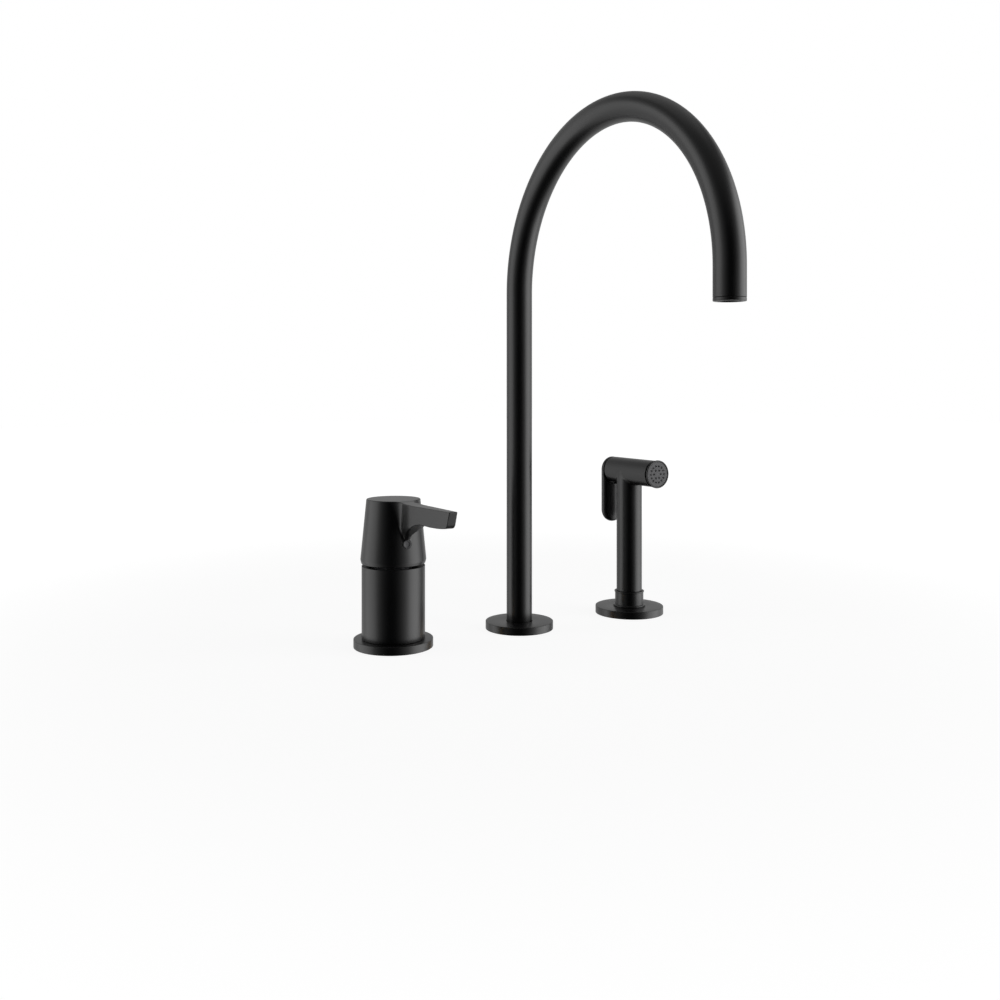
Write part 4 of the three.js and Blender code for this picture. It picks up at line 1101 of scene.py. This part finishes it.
    def hollow(self, body: np.ndarray, x: np.ndarray, y: np.ndarray, z: np.ndarray,
               rho: np.ndarray) -> np.ndarray:
        """Takes the inner room, the spindle's square hole and the screw's hole out of the handle.

        Args:
            body: signed distance of the solid handle.
            x: distance to the right of the axis.
            y: distance behind the axis.
            z: height.
            rho: distance from the axis.

        Returns:
            Signed distance of the hollow handle.
        """
        roof, inner_r = self.top_z - self.roof_t, self.rim_r - self.wall
        cone = (rho - inner_r + self.slope * (z - self.rim_z)) / math.hypot(1, self.slope)
        rib = np.maximum(np.abs(x) - self.rib_w / 2, y)
        boss = np.maximum(smooth_join(rho - self.boss_r, rib, self.room_edge), self.boss_z - z)
        room = np.maximum(smooth_cut(cone, z - roof, self.room_edge), -boss)
        square = np.maximum(np.maximum(np.abs(x), np.abs(y)) - self.spindle_half, z - roof + self.socket_h)
        from_screw = np.hypot(x, z - self.grub_z)
        screw = np.maximum(from_screw - self.grub_r, y)
        plug = np.maximum(from_screw - self.plug_r, self.plug_back + y)
        return np.maximum(body, -np.minimum(np.minimum(square, screw), np.minimum(plug, room)))


# ---------- spout ----------
@dataclass
class Spout:
    """The high arched swivel spout with its base and its outlet, in millimetres."""

    tube_r: float = 10.0
    bore_r: float = 8.5
    bend_r: float = 117.7
    riser_top: float = 262.8
    shank_r: float = 16.0
    riser_steps: int = 12
    arc_steps: int = 120
    edge: float = 0.3
    socket_bore_r: float = 8.6
    socket_room_r: float = 11.2
    socket_room_top: float = -25.6
    socket_head_h: float = 1.9
    socket_bevel: float = 0.5
    outlet_r: float = 7.3
    outlet_edge: float = 0.55
    sleeve_r: float = 8.2
    sleeve_top: float = 12.0
    shelf_r: float = 6.15
    shelf_z: float = 10.8

    def build(self) -> None:
        """Builds and dresses the spout's pieces."""
        self.base()
        Clamp("spout", self.shank_r).build()
        self.socket()
        self.tube()
        self.outlet()

    def base(self) -> None:
        """Builds and dresses the base plate, which covers the head of the socket."""
        hole_r, washer_r = self.tube_r + FIT_GAP, high_mm("thrust_washer", 0) + FIT_GAP
        head_r, outer = high_mm("spout_socket", 0) + FIT_GAP, radius_mm("spout_flange")
        ledge, roof = high_mm("thrust_washer", 2) + FIT_GAP, high_mm("spout_socket", 2)
        top = high_mm("spout_flange", 2)
        corners = [Corner(hole_r, ledge), Corner(washer_r, ledge), Corner(washer_r, roof),
                   Corner(head_r, roof, HAIR_EDGE), Corner(head_r, 0, FINE_EDGE), Corner(outer, 0, FOOT_EDGE),
                   Corner(outer, top, RIM_EDGE), Corner(hole_r, top, FINE_EDGE)]
        made = turned("spout_base_plate", corners, upright(0), RIM_SEGMENTS)
        MATTE_BLACK.dress(made, "fixed_set", "spout_flange")

    def socket(self) -> None:
        """Builds and dresses the threaded socket that the spout turns in."""
        low, high = low_mm("spout_socket", 2), high_mm("spout_socket", 2)
        head_r, head_z = high_mm("spout_socket", 0), high - self.socket_head_h
        room_r = self.socket_room_r
        head = [(self.shank_r, head_z), (head_r, head_z), (head_r, high), (self.socket_bore_r, high),
                (self.socket_bore_r, self.socket_room_top), (room_r, self.socket_room_top),
                (room_r, low + self.socket_bevel)]
        foot = [(room_r + self.socket_bevel, low)]
        made = Thread(self.shank_r, low).cut("spout_socket_thread", foot, head, upright(0))
        BRASS.dress(made, "fixed_set", "spout_socket")

    def line(self, height: float) -> Matrix:
        """The frame of the tube's centre line at a distance along it.

        Args:
            height: distance along the line, counted from z = 0 on the riser.

        Returns:
            The frame, with its z axis along the line.
        """
        arc = math.pi * self.bend_r
        if height <= self.riser_top:
            return straight(height)
        if height >= self.riser_top + arc:
            drop = height - self.riser_top - arc
            return Matrix.Translation((0, -2 * self.bend_r, self.riser_top - drop)) @ Matrix.Rotation(
                math.pi, 4, "X")
        turn = (height - self.riser_top) / self.bend_r
        spot = (0, -self.bend_r * (1 - math.cos(turn)), self.riser_top + self.bend_r * math.sin(turn))
        return Matrix.Translation(spot) @ Matrix.Rotation(turn, 4, "X")

    def tube(self) -> None:
        """Builds and dresses the bent tube."""
        low, arc = low_mm("spout_tube", 2), math.pi * self.bend_r
        end = self.riser_top + arc + (self.riser_top - low_mm("outlet_ring", 2) - OUTLET_RING_H - SKIM_GAP)
        stops = [self.riser_top * i / self.riser_steps for i in range(1, self.riser_steps)]
        stops += [self.riser_top + arc * i / self.arc_steps for i in range(self.arc_steps + 1)]
        rim = [Corner(self.bore_r, low), Corner(self.tube_r, low, self.edge)]
        far = [Corner(self.tube_r, end, self.edge), Corner(self.bore_r, end)]
        outer = [Corner(self.tube_r, s) for s in stops]
        inner = [Corner(self.bore_r, s) for s in reversed(stops)]
        outline = rounded([*rim, *outer, *far, *inner])
        made = solid("spout_arch_tube", *Lathe(SEGMENTS, line=self.line).data(outline), upright(0))
        MATTE_BLACK.dress(made, "spout", "spout_tube")

    def outlet(self) -> None:
        """Builds and dresses the outlet ring at the end of the tube."""
        place = upright(0, -2 * self.bend_r, low_mm("outlet_ring", 2))
        corners = [Corner(self.outlet_r, 0, FINE_EDGE), Corner(self.tube_r, 0, self.outlet_edge),
                   Corner(self.tube_r, OUTLET_RING_H, self.edge), Corner(self.sleeve_r, OUTLET_RING_H),
                   Corner(self.sleeve_r, self.sleeve_top), Corner(self.shelf_r, self.sleeve_top),
                   Corner(self.shelf_r, self.shelf_z), Corner(self.outlet_r, self.shelf_z)]
        MATTE_BLACK.dress(turned("outlet_end_ring", corners, place), "spout", "outlet_ring")


# ---------- hand spray ----------
@dataclass
class HandSpray:
    """The hand spray and the holder that it stands in, in millimetres."""

    holder_r: float = 12.3
    holder_top: float = 18.6
    holder_edge: float = 0.25
    holder_waist: float = 0.5
    holder_lip_h: float = 1.0
    holder_lip_slope: float = 0.2
    holder_ring_r: float = 13.2
    holder_ring_h: float = 1.4
    holder_ring_edge: float = 0.7
    holder_bore_r: float = 10.85
    holder_pitch: float = 1.25
    holder_groove: float = 0.6
    collar_steps: int = 3
    bush_t: float = 1.6
    bush_room_r: float = 9.4
    shank_r: float = 12.2
    shank_bevel: float = 0.4
    stem_r: float = 10.55
    stem_edge: float = 0.4
    stem_bore: float = 7.0
    barrel_r: float = 10.8
    barrel_z: float = 118.5
    barrel_front: float = 34.3
    barrel_front_edge: float = 0.5
    barrel_back: float = 20.4
    barrel_back_edge: float = 0.6
    barrel_bore: float = 8.0
    barrel_fillet: float = 0.8
    rear_wall: float = 11.4
    guide_r: float = 1.8
    paddle_front: float = 20.9
    paddle_back: float = 24.8
    paddle_back_edge: float = 0.7
    paddle_drop: float = 33.7
    paddle_crown: float = 2.5
    paddle_edge: float = 2.5
    crown_room: float = 0.4
    crown_fade: float = 0.8
    rod_room_r: float = 2.4
    head_room_r: float = 4.15
    head_wall: float = 1.1
    pivot_y: float = 17.8
    pivot_z: float = 111.7
    pin_r: float = 1.25
    pin_half: float = 6.2
    pin_edge: float = 0.4
    pin_run: float = 0.1
    pin_play: float = 0.15
    tongue_w: float = 6.0
    tongue_h: float = 4.4
    tongue_reach: float = 2.6
    tongue_lap: float = 1.0
    slot_room: float = 0.53
    face_r: float = 11.35
    face_bore_r: float = 6.2
    face_spigot_r: float = 7.7
    face_spigot_z: float = 28.4
    face_neck_r: float = 9.6
    face_neck_z: float = 34.4
    face_ring_z: float = 36.3
    face_z: float = 37.5
    face_edge: float = 0.8
    seal_r: float = 7.8
    seal_foot: float = 34.55
    seal_top: float = 35.95
    plate_r: float = 10.1
    plate_gap: float = 0.15
    groove_edge: float = 0.3
    plate_low: float = 36.1
    plate_z: float = 37.1
    plate_edge: float = 0.15
    nozzle_r: float = 0.4
    nub_r: float = 0.85
    nub_z: float = 37.45
    nozzle_rings: tuple[tuple[float, int], ...] = ((3.5, 6), (6.7, 14))
    body_step: float = 0.6
    paddle_step: float = 0.5
    plate_step: float = 0.17

    @property
    def x(self) -> float:
        """Where the holder's axis stands."""
        return middle("spray_flange").x / MM

    @property
    def barrel(self) -> Matrix:
        """The place of what is turned about the barrel's axis, with z pointing forwards."""
        return forwards(self.x, self.barrel_z)

    def build(self) -> None:
        """Builds and dresses the holder and the hand spray."""
        base_plate("spray", self.shank_r + FIT_GAP, upright(self.x))
        Clamp("spray", self.shank_r).build()
        self.holder()
        self.body()
        self.trigger()
        self.hinge_pin()
        plug = DishedPlug("trigger_dished_plug", "trigger_plug", "trigger", foot_edge=HAIR_EDGE, rim_w=0.8,
                          rim_edge=FINE_EDGE, dish_h=0.3, middle_h=0.4)
        plug.build(low_mm(plug.node, 1), high_mm(plug.node, 1), forwards(self.x, self.barrel_z, -1))
        self.face_ring()
        self.nozzle_plate()

    def holder(self) -> None:
        """Builds and dresses the threaded holder with its collar."""
        low, foot = low_mm("spray_holder", 2), high_mm("spray_flange", 2)
        step, ring, top = low_mm("spray_body", 2) - self.bush_t, foot + self.holder_ring_h, self.holder_top
        waist_r, bush_r = self.holder_r - self.holder_waist, self.bush_room_r
        lip = top - self.holder_lip_h
        collar = rounded([Corner(self.shank_r, foot), Corner(self.holder_ring_r, foot, HAIR_EDGE),
                          Corner(self.holder_ring_r, ring, self.holder_ring_edge),
                          Corner(waist_r, ring, HAIR_EDGE),
                          Corner(waist_r, lip - self.holder_lip_slope, FOOT_EDGE),
                          Corner(self.holder_r, lip, FOOT_EDGE), Corner(self.holder_r, top, self.holder_edge),
                          Corner(self.holder_bore_r, top, FINE_EDGE), Corner(self.holder_bore_r, step),
                          Corner(bush_r, step)], self.collar_steps)
        screw = Thread(self.shank_r, low, pitch=self.holder_pitch, depth=self.holder_groove)
        foot_line = [(bush_r, low + self.shank_bevel), (bush_r + self.shank_bevel, low)]
        made = screw.cut("spray_holder_thread", foot_line, collar, upright(self.x))
        MATTE_BLACK.dress(made, "fixed_set", "spray_holder")

    def body_form(self, p: np.ndarray) -> np.ndarray:
        """Signed distance of the stem and the barrel, with their bores and the trigger's slot.

        Args:
            p: points, in millimetres.

        Returns:
            Their distance from the surface, negative inside.
        """
        x, y, z = p[..., 0], p[..., 1], p[..., 2]
        rise, rho = z - self.barrel_z, np.hypot(x, y)
        from_barrel = np.hypot(x, rise)
        stem = smooth_cut(rho - self.stem_r, low_mm("spray_body", 2) - z, self.stem_edge)
        barrel = smooth_cut(from_barrel - self.barrel_r, y - self.barrel_back, self.barrel_back_edge)
        barrel = smooth_cut(barrel, -self.barrel_front - y, self.barrel_front_edge)
        body = smooth_join(np.maximum(stem, rise), barrel, self.barrel_fillet)
        stem_bore = np.maximum(rho - self.stem_bore, rise)
        barrel_bore = np.maximum(from_barrel - self.barrel_bore, y - self.barrel_back + self.rear_wall)
        guide = np.maximum(from_barrel - self.guide_r, -y)
        pin = np.hypot(y - self.pivot_y, z - self.pivot_z) - self.pin_r - self.pin_run
        pin = np.maximum(pin, -x - self.pin_half - self.pin_run)
        slot = np.maximum(np.abs(x) - self.tongue_w / 2 - FIT_GAP,
                          np.abs(z - self.pivot_z) - self.tongue_h / 2 - self.slot_room)
        slot = np.maximum(slot, self.pivot_y - self.tongue_reach - FIT_GAP - y)
        bores = np.minimum(np.minimum(stem_bore, barrel_bore), np.minimum(guide, np.minimum(pin, slot)))
        return np.maximum(body, -bores)

    def body(self) -> None:
        """Casts and dresses the stem and the barrel as one body."""
        space = Caster((-self.barrel_r, -self.barrel_front, low_mm("spray_body", 2)),
                       (self.barrel_r, self.barrel_back, self.barrel_z + self.barrel_r), self.body_step)
        made = cast_solid("spray_stem_and_barrel", self.body_form, space, upright(self.x))
        MATTE_BLACK.dress(made, "handset", "spray_body")

    def paddle_form(self, p: np.ndarray) -> np.ndarray:
        """Signed distance of the trigger's crowned paddle and its tongue.

        Args:
            p: points, in millimetres.

        Returns:
            Their distance from the surface, negative inside.
        """
        x, y, z = p[..., 0], p[..., 1], p[..., 2]
        from_barrel = np.hypot(x, z - self.barrel_z)
        outline = np.hypot(x, z - np.clip(z, self.barrel_z - self.paddle_drop, self.barrel_z)) - self.barrel_r
        body = smooth_cut(outline, y - self.paddle_back, self.paddle_back_edge)
        swell = 1 - np.clip(1 + outline / self.barrel_r, 0, 1) ** 2
        beside = from_barrel - self.barrel_r - self.crown_room
        crown = self.paddle_crown * swell * np.clip(beside / self.crown_fade, 0, 1)
        body = smooth_cut(body, self.paddle_front - crown - y, self.paddle_edge)
        tongue = np.maximum(np.abs(x) - self.tongue_w / 2, np.abs(z - self.pivot_z) - self.tongue_h / 2)
        tongue = np.maximum(tongue, self.pivot_y - self.tongue_reach - y)
        tongue = np.maximum(tongue, y - self.paddle_front - self.tongue_lap)
        pin = np.hypot(y - self.pivot_y, z - self.pivot_z) - self.pin_r - self.pin_play
        rod = from_barrel - self.rod_room_r
        head = np.maximum(from_barrel - self.head_room_r, self.paddle_front + self.head_wall - y)
        return np.maximum(np.minimum(body, tongue), -np.minimum(pin, np.minimum(rod, head)))

    def trigger(self) -> None:
        """Casts and dresses the trigger's paddle."""
        low_z = self.barrel_z - self.paddle_drop
        space = Caster((-self.barrel_r, self.pivot_y - self.tongue_reach, low_z - self.barrel_r),
                       (self.barrel_r, self.paddle_back, self.barrel_z + self.barrel_r), self.paddle_step)
        made = cast_solid("trigger_paddle_shell", self.paddle_form, space, upright(self.x))
        MATTE_BLACK.dress(made, "trigger", "trigger_paddle")

    def hinge_pin(self) -> None:
        """Builds and dresses the steel pin that the trigger turns on."""
        across = upright(self.x, self.pivot_y, self.pivot_z) @ Matrix.Rotation(math.pi / 2, 4, "Y")
        half = self.pin_half
        pin = [Corner(0, -half), Corner(self.pin_r, -half, self.pin_edge),
               Corner(self.pin_r, half, self.pin_edge), Corner(0, half)]
        STEEL.dress(turned("trigger_hinge_pin", pin, across, SMALL_SEGMENTS), "handset", "trigger_pin")

    def face_ring(self) -> None:
        """Builds and dresses the ring round the spray face."""
        groove_r = self.plate_r + self.plate_gap
        corners = [
            Corner(self.face_bore_r, self.face_spigot_z), Corner(self.face_spigot_r, self.face_spigot_z),
            Corner(self.face_spigot_r, self.face_neck_z), Corner(self.face_neck_r, self.face_neck_z),
            Corner(self.face_neck_r, self.face_ring_z), Corner(self.face_r, self.face_ring_z, FINE_EDGE),
            Corner(self.face_r, self.face_z, self.face_edge), Corner(groove_r, self.face_z, self.groove_edge),
            Corner(groove_r, self.seal_top), Corner(self.seal_r, self.seal_top),
            Corner(self.seal_r, self.seal_foot), Corner(self.face_bore_r, self.seal_foot)]
        MATTE_BLACK.dress(turned("spray_face_end_ring", corners, self.barrel), "handset", "spray_face_ring")

    def plate_form(self, p: np.ndarray) -> np.ndarray:
        """Signed distance of the spray plate with its raised nozzles.

        Args:
            p: points about the barrel's axis, with z pointing forwards, in millimetres.

        Returns:
            Their distance from the surface, negative inside.
        """
        x, y, z = p[..., 0], p[..., 1], p[..., 2]
        plate = smooth_cut(np.hypot(x, y) - self.plate_r, z - self.plate_z, self.plate_edge)
        away = np.full(x.shape, FAR)
        for r, count in self.nozzle_rings:
            for i in range(count):
                turn = 2 * math.pi * i / count
                away = np.minimum(away, np.hypot(x - r * math.cos(turn), y - r * math.sin(turn)))
        nubs = smooth_cut(away - self.nub_r, z - self.nub_z, FINE_EDGE)
        body = np.maximum(smooth_join(plate, nubs, self.plate_edge), self.plate_low - z)
        return np.maximum(body, self.nozzle_r - away)

    def nozzle_plate(self) -> None:
        """Casts and dresses the spray plate."""
        space = Caster((-self.plate_r, -self.plate_r, self.plate_low),
                       (self.plate_r, self.plate_r, self.face_z), self.plate_step)
        made = cast_solid("spray_nozzle_plate", self.plate_form, space, self.barrel)
        DARK_PLASTIC.dress(made, "handset", "spray_plate")


# ---------- hidden pieces that keep their CAD solids ----------
def dress_kept_nodes() -> None:
    """Gives each CAD node that still shows its slot's material, and paints the cartridge's ring nut black as
    painted shade for the gap under the handle's rim.
    """
    slots = {part["node"]: part["material_slot"] for part in frame["record"]["subparts"]}
    # Painted shade: the ring nut gets the body's black instead of its brass slot, so the slit under the
    # handle's rim shows dark where the nut would show through.
    slots["cartridge_nut"] = MATTE_BLACK.slot
    for name, node in frame["nodes"].items():
        if node.hide_render:
            continue
        node.data.materials.clear()
        node.data.materials.append(FINISHES[slots[name]].material())
        log.info("%s keeps its solid, in %s", name, slots[name])


# ---------- studio ----------
@dataclass(frozen=True)
class Softbox:
    """A soft area lamp that points at the faucet.

    Args:
        name: the lamp's name.
        angle: degrees to the right of the line from the faucet to the camera, seen from above.
        away: distance from the faucet, in metres.
        size: width and height, in metres.
        height: height above the worktop, in metres.
        radiance: brightness of its face, where 1 is white.
    """

    name: str
    angle: float
    away: float
    size: tuple[float, float]
    height: float
    radiance: float


@dataclass(frozen=True)
class Ramp:
    """A smooth rise from one value to another.

    Args:
        start: where it starts.
        end: where it ends.
        low: value at its start.
        high: value at its end.
    """

    start: float
    end: float
    low: float
    high: float

    def apply(self, tree: bpy.types.NodeTree, value: bpy.types.NodeSocket) -> bpy.types.NodeSocket:
        """Adds the rise to a node tree.

        Args:
            tree: the node tree.
            value: what the rise follows.

        Returns:
            The risen value.
        """
        node = tree.nodes.new("ShaderNodeMapRange")
        node.interpolation_type = "SMOOTHSTEP"
        for key, number in (("From Min", self.start), ("From Max", self.end), ("To Min", self.low),
                            ("To Max", self.high)):
            node.inputs[key].default_value = number
        tree.links.new(value, node.inputs["Value"])
        return node.outputs["Result"]


@dataclass
class Studio:
    """Camera, soft lamps, pale floor and white background, in metres."""

    camera_spot: tuple[float, float, float] = (-0.4370, -0.6987, 0.1938)
    forward: tuple[float, float] = (0.5135, 0.8581)
    lens: float = 37.73
    sensor: float = 36.0
    shift: tuple[float, float] = (0.0013, -0.1187)
    target: tuple[float, float, float] = (0.0, -0.05, 0.2)
    softboxes: tuple[Softbox, ...] = (
        Softbox("left_softbox", -85, 1.25, (1.1, 1.9), 0.2, 1.0),
        Softbox("right_softbox", 84, 1.2, (1.1, 1.9), 0.2, 1.6),
        Softbox("top_softbox", 180, 0.3, (1.4, 1.4), 1.7, 0.3))
    ambient: float = 0.1
    ceiling: float = 0.24
    ceiling_rise: Ramp = Ramp(0.35, 0.8, 0, 1)
    ground: float = 0.03
    ground_rise: Ramp = Ramp(-0.95, -0.6, 1, 0)
    wall_peak: float = 2.5
    walls: tuple[tuple[float, float], ...] = (
        (-180, 0.57), (-150, 0.62), (-118, 0.7), (-90, 0.9), (-62, 0.7), (-45, 0.3), (-30, 0.08), (-15, 0.0),
        (15, 0.0), (30, 0.12), (45, 0.5), (62, 1.1), (85, 1.5), (110, 1.2), (150, 0.78), (179.9, 0.57))
    floor_half: float = 4.0
    floor_shade: float = 0.2
    floor_glow: Ramp = Ramp(0.25, 0.9, 0.9, 1.02)

    def build(self) -> None:
        """Sets the studio up."""
        self.camera()
        for softbox in self.softboxes:
            self.lamp(softbox)
        self.world()
        self.floor()
        bpy.context.scene.view_settings.view_transform = "Standard"

    def camera(self) -> None:
        """Sets the camera up at the photograph's view."""
        data = bpy.data.cameras.new("camera")
        data.lens = self.lens
        data.sensor_width = self.sensor
        data.shift_x, data.shift_y = self.shift
        eye = bpy.data.objects.new("camera", data)
        eye.location = self.camera_spot
        eye.rotation_euler = (math.pi / 2, 0, math.atan2(-self.forward[0], self.forward[1]))
        bpy.context.scene.collection.objects.link(eye)
        bpy.context.scene.camera = eye

    def lamp(self, softbox: Softbox) -> None:
        """Adds a lamp.

        Args:
            softbox: its place, size and brightness.
        """
        back = math.atan2(-self.forward[1], -self.forward[0]) + math.radians(softbox.angle)
        spot = Vector((softbox.away * math.cos(back), softbox.away * math.sin(back), softbox.height))
        spot += Vector((self.target[0], self.target[1], 0))
        data = bpy.data.lights.new(softbox.name, "AREA")
        data.shape = "RECTANGLE"
        data.size, data.size_y = softbox.size
        data.energy = softbox.radiance * math.pi * math.prod(softbox.size)
        lamp = bpy.data.objects.new(softbox.name, data)
        lamp.location = spot
        lamp.rotation_euler = (Vector(self.target) - spot).to_track_quat("-Z", "Y").to_euler()
        bpy.context.scene.collection.objects.link(lamp)

    @staticmethod
    def seen_white(tree: bpy.types.NodeTree) -> tuple[bpy.types.NodeSocket, bpy.types.NodeSocket]:
        """Tells apart the rays that show the background.

        Args:
            tree: the node tree of the world or the floor.

        Returns:
            1 for the camera's own rays, and 1 for those and the rays that metal or glass send on.
        """
        ray = tree.nodes.new("ShaderNodeLightPath")
        own = ray.outputs["Is Camera Ray"]
        sent = maths(tree, "MAXIMUM", ray.outputs["Is Glossy Ray"], ray.outputs["Is Transmission Ray"])
        return own, maths(tree, "MAXIMUM", own, sent)

    @staticmethod
    def along(tree: bpy.types.NodeTree, direction: bpy.types.NodeSocket,
              axis: Sequence[float]) -> bpy.types.NodeSocket:
        """How far a direction points along an axis.

        Args:
            tree: the node tree.
            direction: the direction.
            axis: the axis.

        Returns:
            The share along the axis.
        """
        node = tree.nodes.new("ShaderNodeVectorMath")
        node.operation = "DOT_PRODUCT"
        node.inputs[1].default_value = axis
        tree.links.new(direction, node.inputs[0])
        return node.outputs["Value"]

    @staticmethod
    def mixed(tree: bpy.types.NodeTree, share: bpy.types.NodeSocket, first: bpy.types.NodeSocket,
              second: bpy.types.NodeSocket, output: str) -> None:
        """Mixes two shaders into a tree's surface.

        Args:
            tree: the node tree.
            share: share of the second shader.
            first: the first shader.
            second: the second shader.
            output: name of the tree's output node.
        """
        mix = tree.nodes.new("ShaderNodeMixShader")
        tree.links.new(share, mix.inputs["Fac"])
        tree.links.new(first, mix.inputs[1])
        tree.links.new(second, mix.inputs[2])
        tree.links.new(mix.outputs[0], tree.nodes[output].inputs["Surface"])

    def room(self, tree: bpy.types.NodeTree) -> bpy.types.NodeSocket:
        """How bright the room is in each direction, as the faucet reflects it.

        Args:
            tree: the world's node tree.

        Returns:
            The brightness.
        """
        direction = tree.nodes.new("ShaderNodeTexCoord").outputs["Generated"]
        ahead = self.along(tree, direction, (*self.forward, 0))
        right = self.along(tree, direction, (self.forward[1], -self.forward[0], 0))
        angle = maths(tree, "ARCTAN2", right, maths(tree, "MULTIPLY", ahead, -1))
        walls = tree.nodes.new("ShaderNodeValToRGB")
        bands = walls.color_ramp
        bands.interpolation = "EASE"
        for degrees, level in self.walls:
            place = degrees / 360 + 0.5
            band = bands.elements[0] if place <= 0 else bands.elements.new(place)
            band.color = (*(level / self.wall_peak,) * 3, 1)
        bands.elements.remove(bands.elements[-1])
        turn = maths(tree, "MULTIPLY_ADD", angle, 1 / (2 * math.pi), 0.5)
        tree.links.new(turn, walls.inputs["Fac"])
        wall = maths(tree, "MULTIPLY", walls.outputs["Color"], self.wall_peak)
        rise = self.along(tree, direction, (0, 0, 1))
        over = self.ceiling_rise.apply(tree, rise)
        under = self.ground_rise.apply(tree, rise)
        beside = maths(tree, "SUBTRACT", maths(tree, "SUBTRACT", 1, over), under)
        total = maths(tree, "MULTIPLY_ADD", wall, beside, maths(tree, "MULTIPLY", over, self.ceiling))
        return maths(tree, "MULTIPLY_ADD", under, self.ground, total)

    def world(self) -> None:
        """White to the camera, bright walls round a dark front in reflections, and a low even light."""
        world = bpy.data.worlds.new("studio")
        bpy.context.scene.world = world
        world.use_nodes = True
        world.cycles.sampling_method = "NONE"
        tree = world.node_tree
        plain = tree.nodes["Background"]
        white = tree.nodes.new("ShaderNodeBackground")
        for node in (plain, white):
            node.inputs["Color"].default_value = (1, 1, 1, 1)
        plain.inputs["Strength"].default_value = self.ambient
        own, shown = self.seen_white(tree)
        tree.links.new(maths(tree, "MAXIMUM", own, self.room(tree)), white.inputs["Strength"])
        self.mixed(tree, shown, plain.outputs[0], white.outputs[0], "World Output")

    def floor(self) -> None:
        """Adds the pale floor at the worktop's level. Only the camera sees it, with the faucet's shadow."""
        half = self.floor_half
        mesh = bpy.data.meshes.new("pale_floor")
        mesh.from_pydata([(-half, -half, 0), (half, -half, 0), (half, half, 0), (-half, half, 0)], [],
                         [(0, 1, 2, 3)])
        floor = bpy.data.objects.new("pale_floor", mesh)
        bpy.context.scene.collection.objects.link(floor)
        pale = bpy.data.materials.new("pale_floor")
        pale.use_nodes = True
        tree = pale.node_tree
        shader = tree.nodes["Principled BSDF"]
        shader.inputs["Roughness"].default_value = 1
        shader.inputs["Specular IOR Level"].default_value = 0
        shader.inputs["Base Color"].default_value = (*(self.floor_shade,) * 3, 1)
        shader.inputs["Emission Color"].default_value = (1, 1, 1, 1)
        away = tree.nodes.new("ShaderNodeVectorMath")
        away.operation = "LENGTH"
        tree.links.new(tree.nodes.new("ShaderNodeTexCoord").outputs["Object"], away.inputs[0])
        glow = self.floor_glow.apply(tree, away.outputs["Value"])
        tree.links.new(glow, shader.inputs["Emission Strength"])
        own, _ = self.seen_white(tree)
        clear = tree.nodes.new("ShaderNodeBsdfTransparent")
        self.mixed(tree, own, clear.outputs[0], shader.outputs[0], "Material Output")
        mesh.materials.append(pale)


def main() -> None:
    """Builds the faucet's pieces in order, dresses them and sets the studio up."""
    logging.basicConfig(level=logging.INFO, format="%(message)s")
    Mixer().build()
    Handle().build()
    Spout().build()
    HandSpray().build()
    dress_kept_nodes()
    Studio().build()


if __name__ == "__main__":
    main()
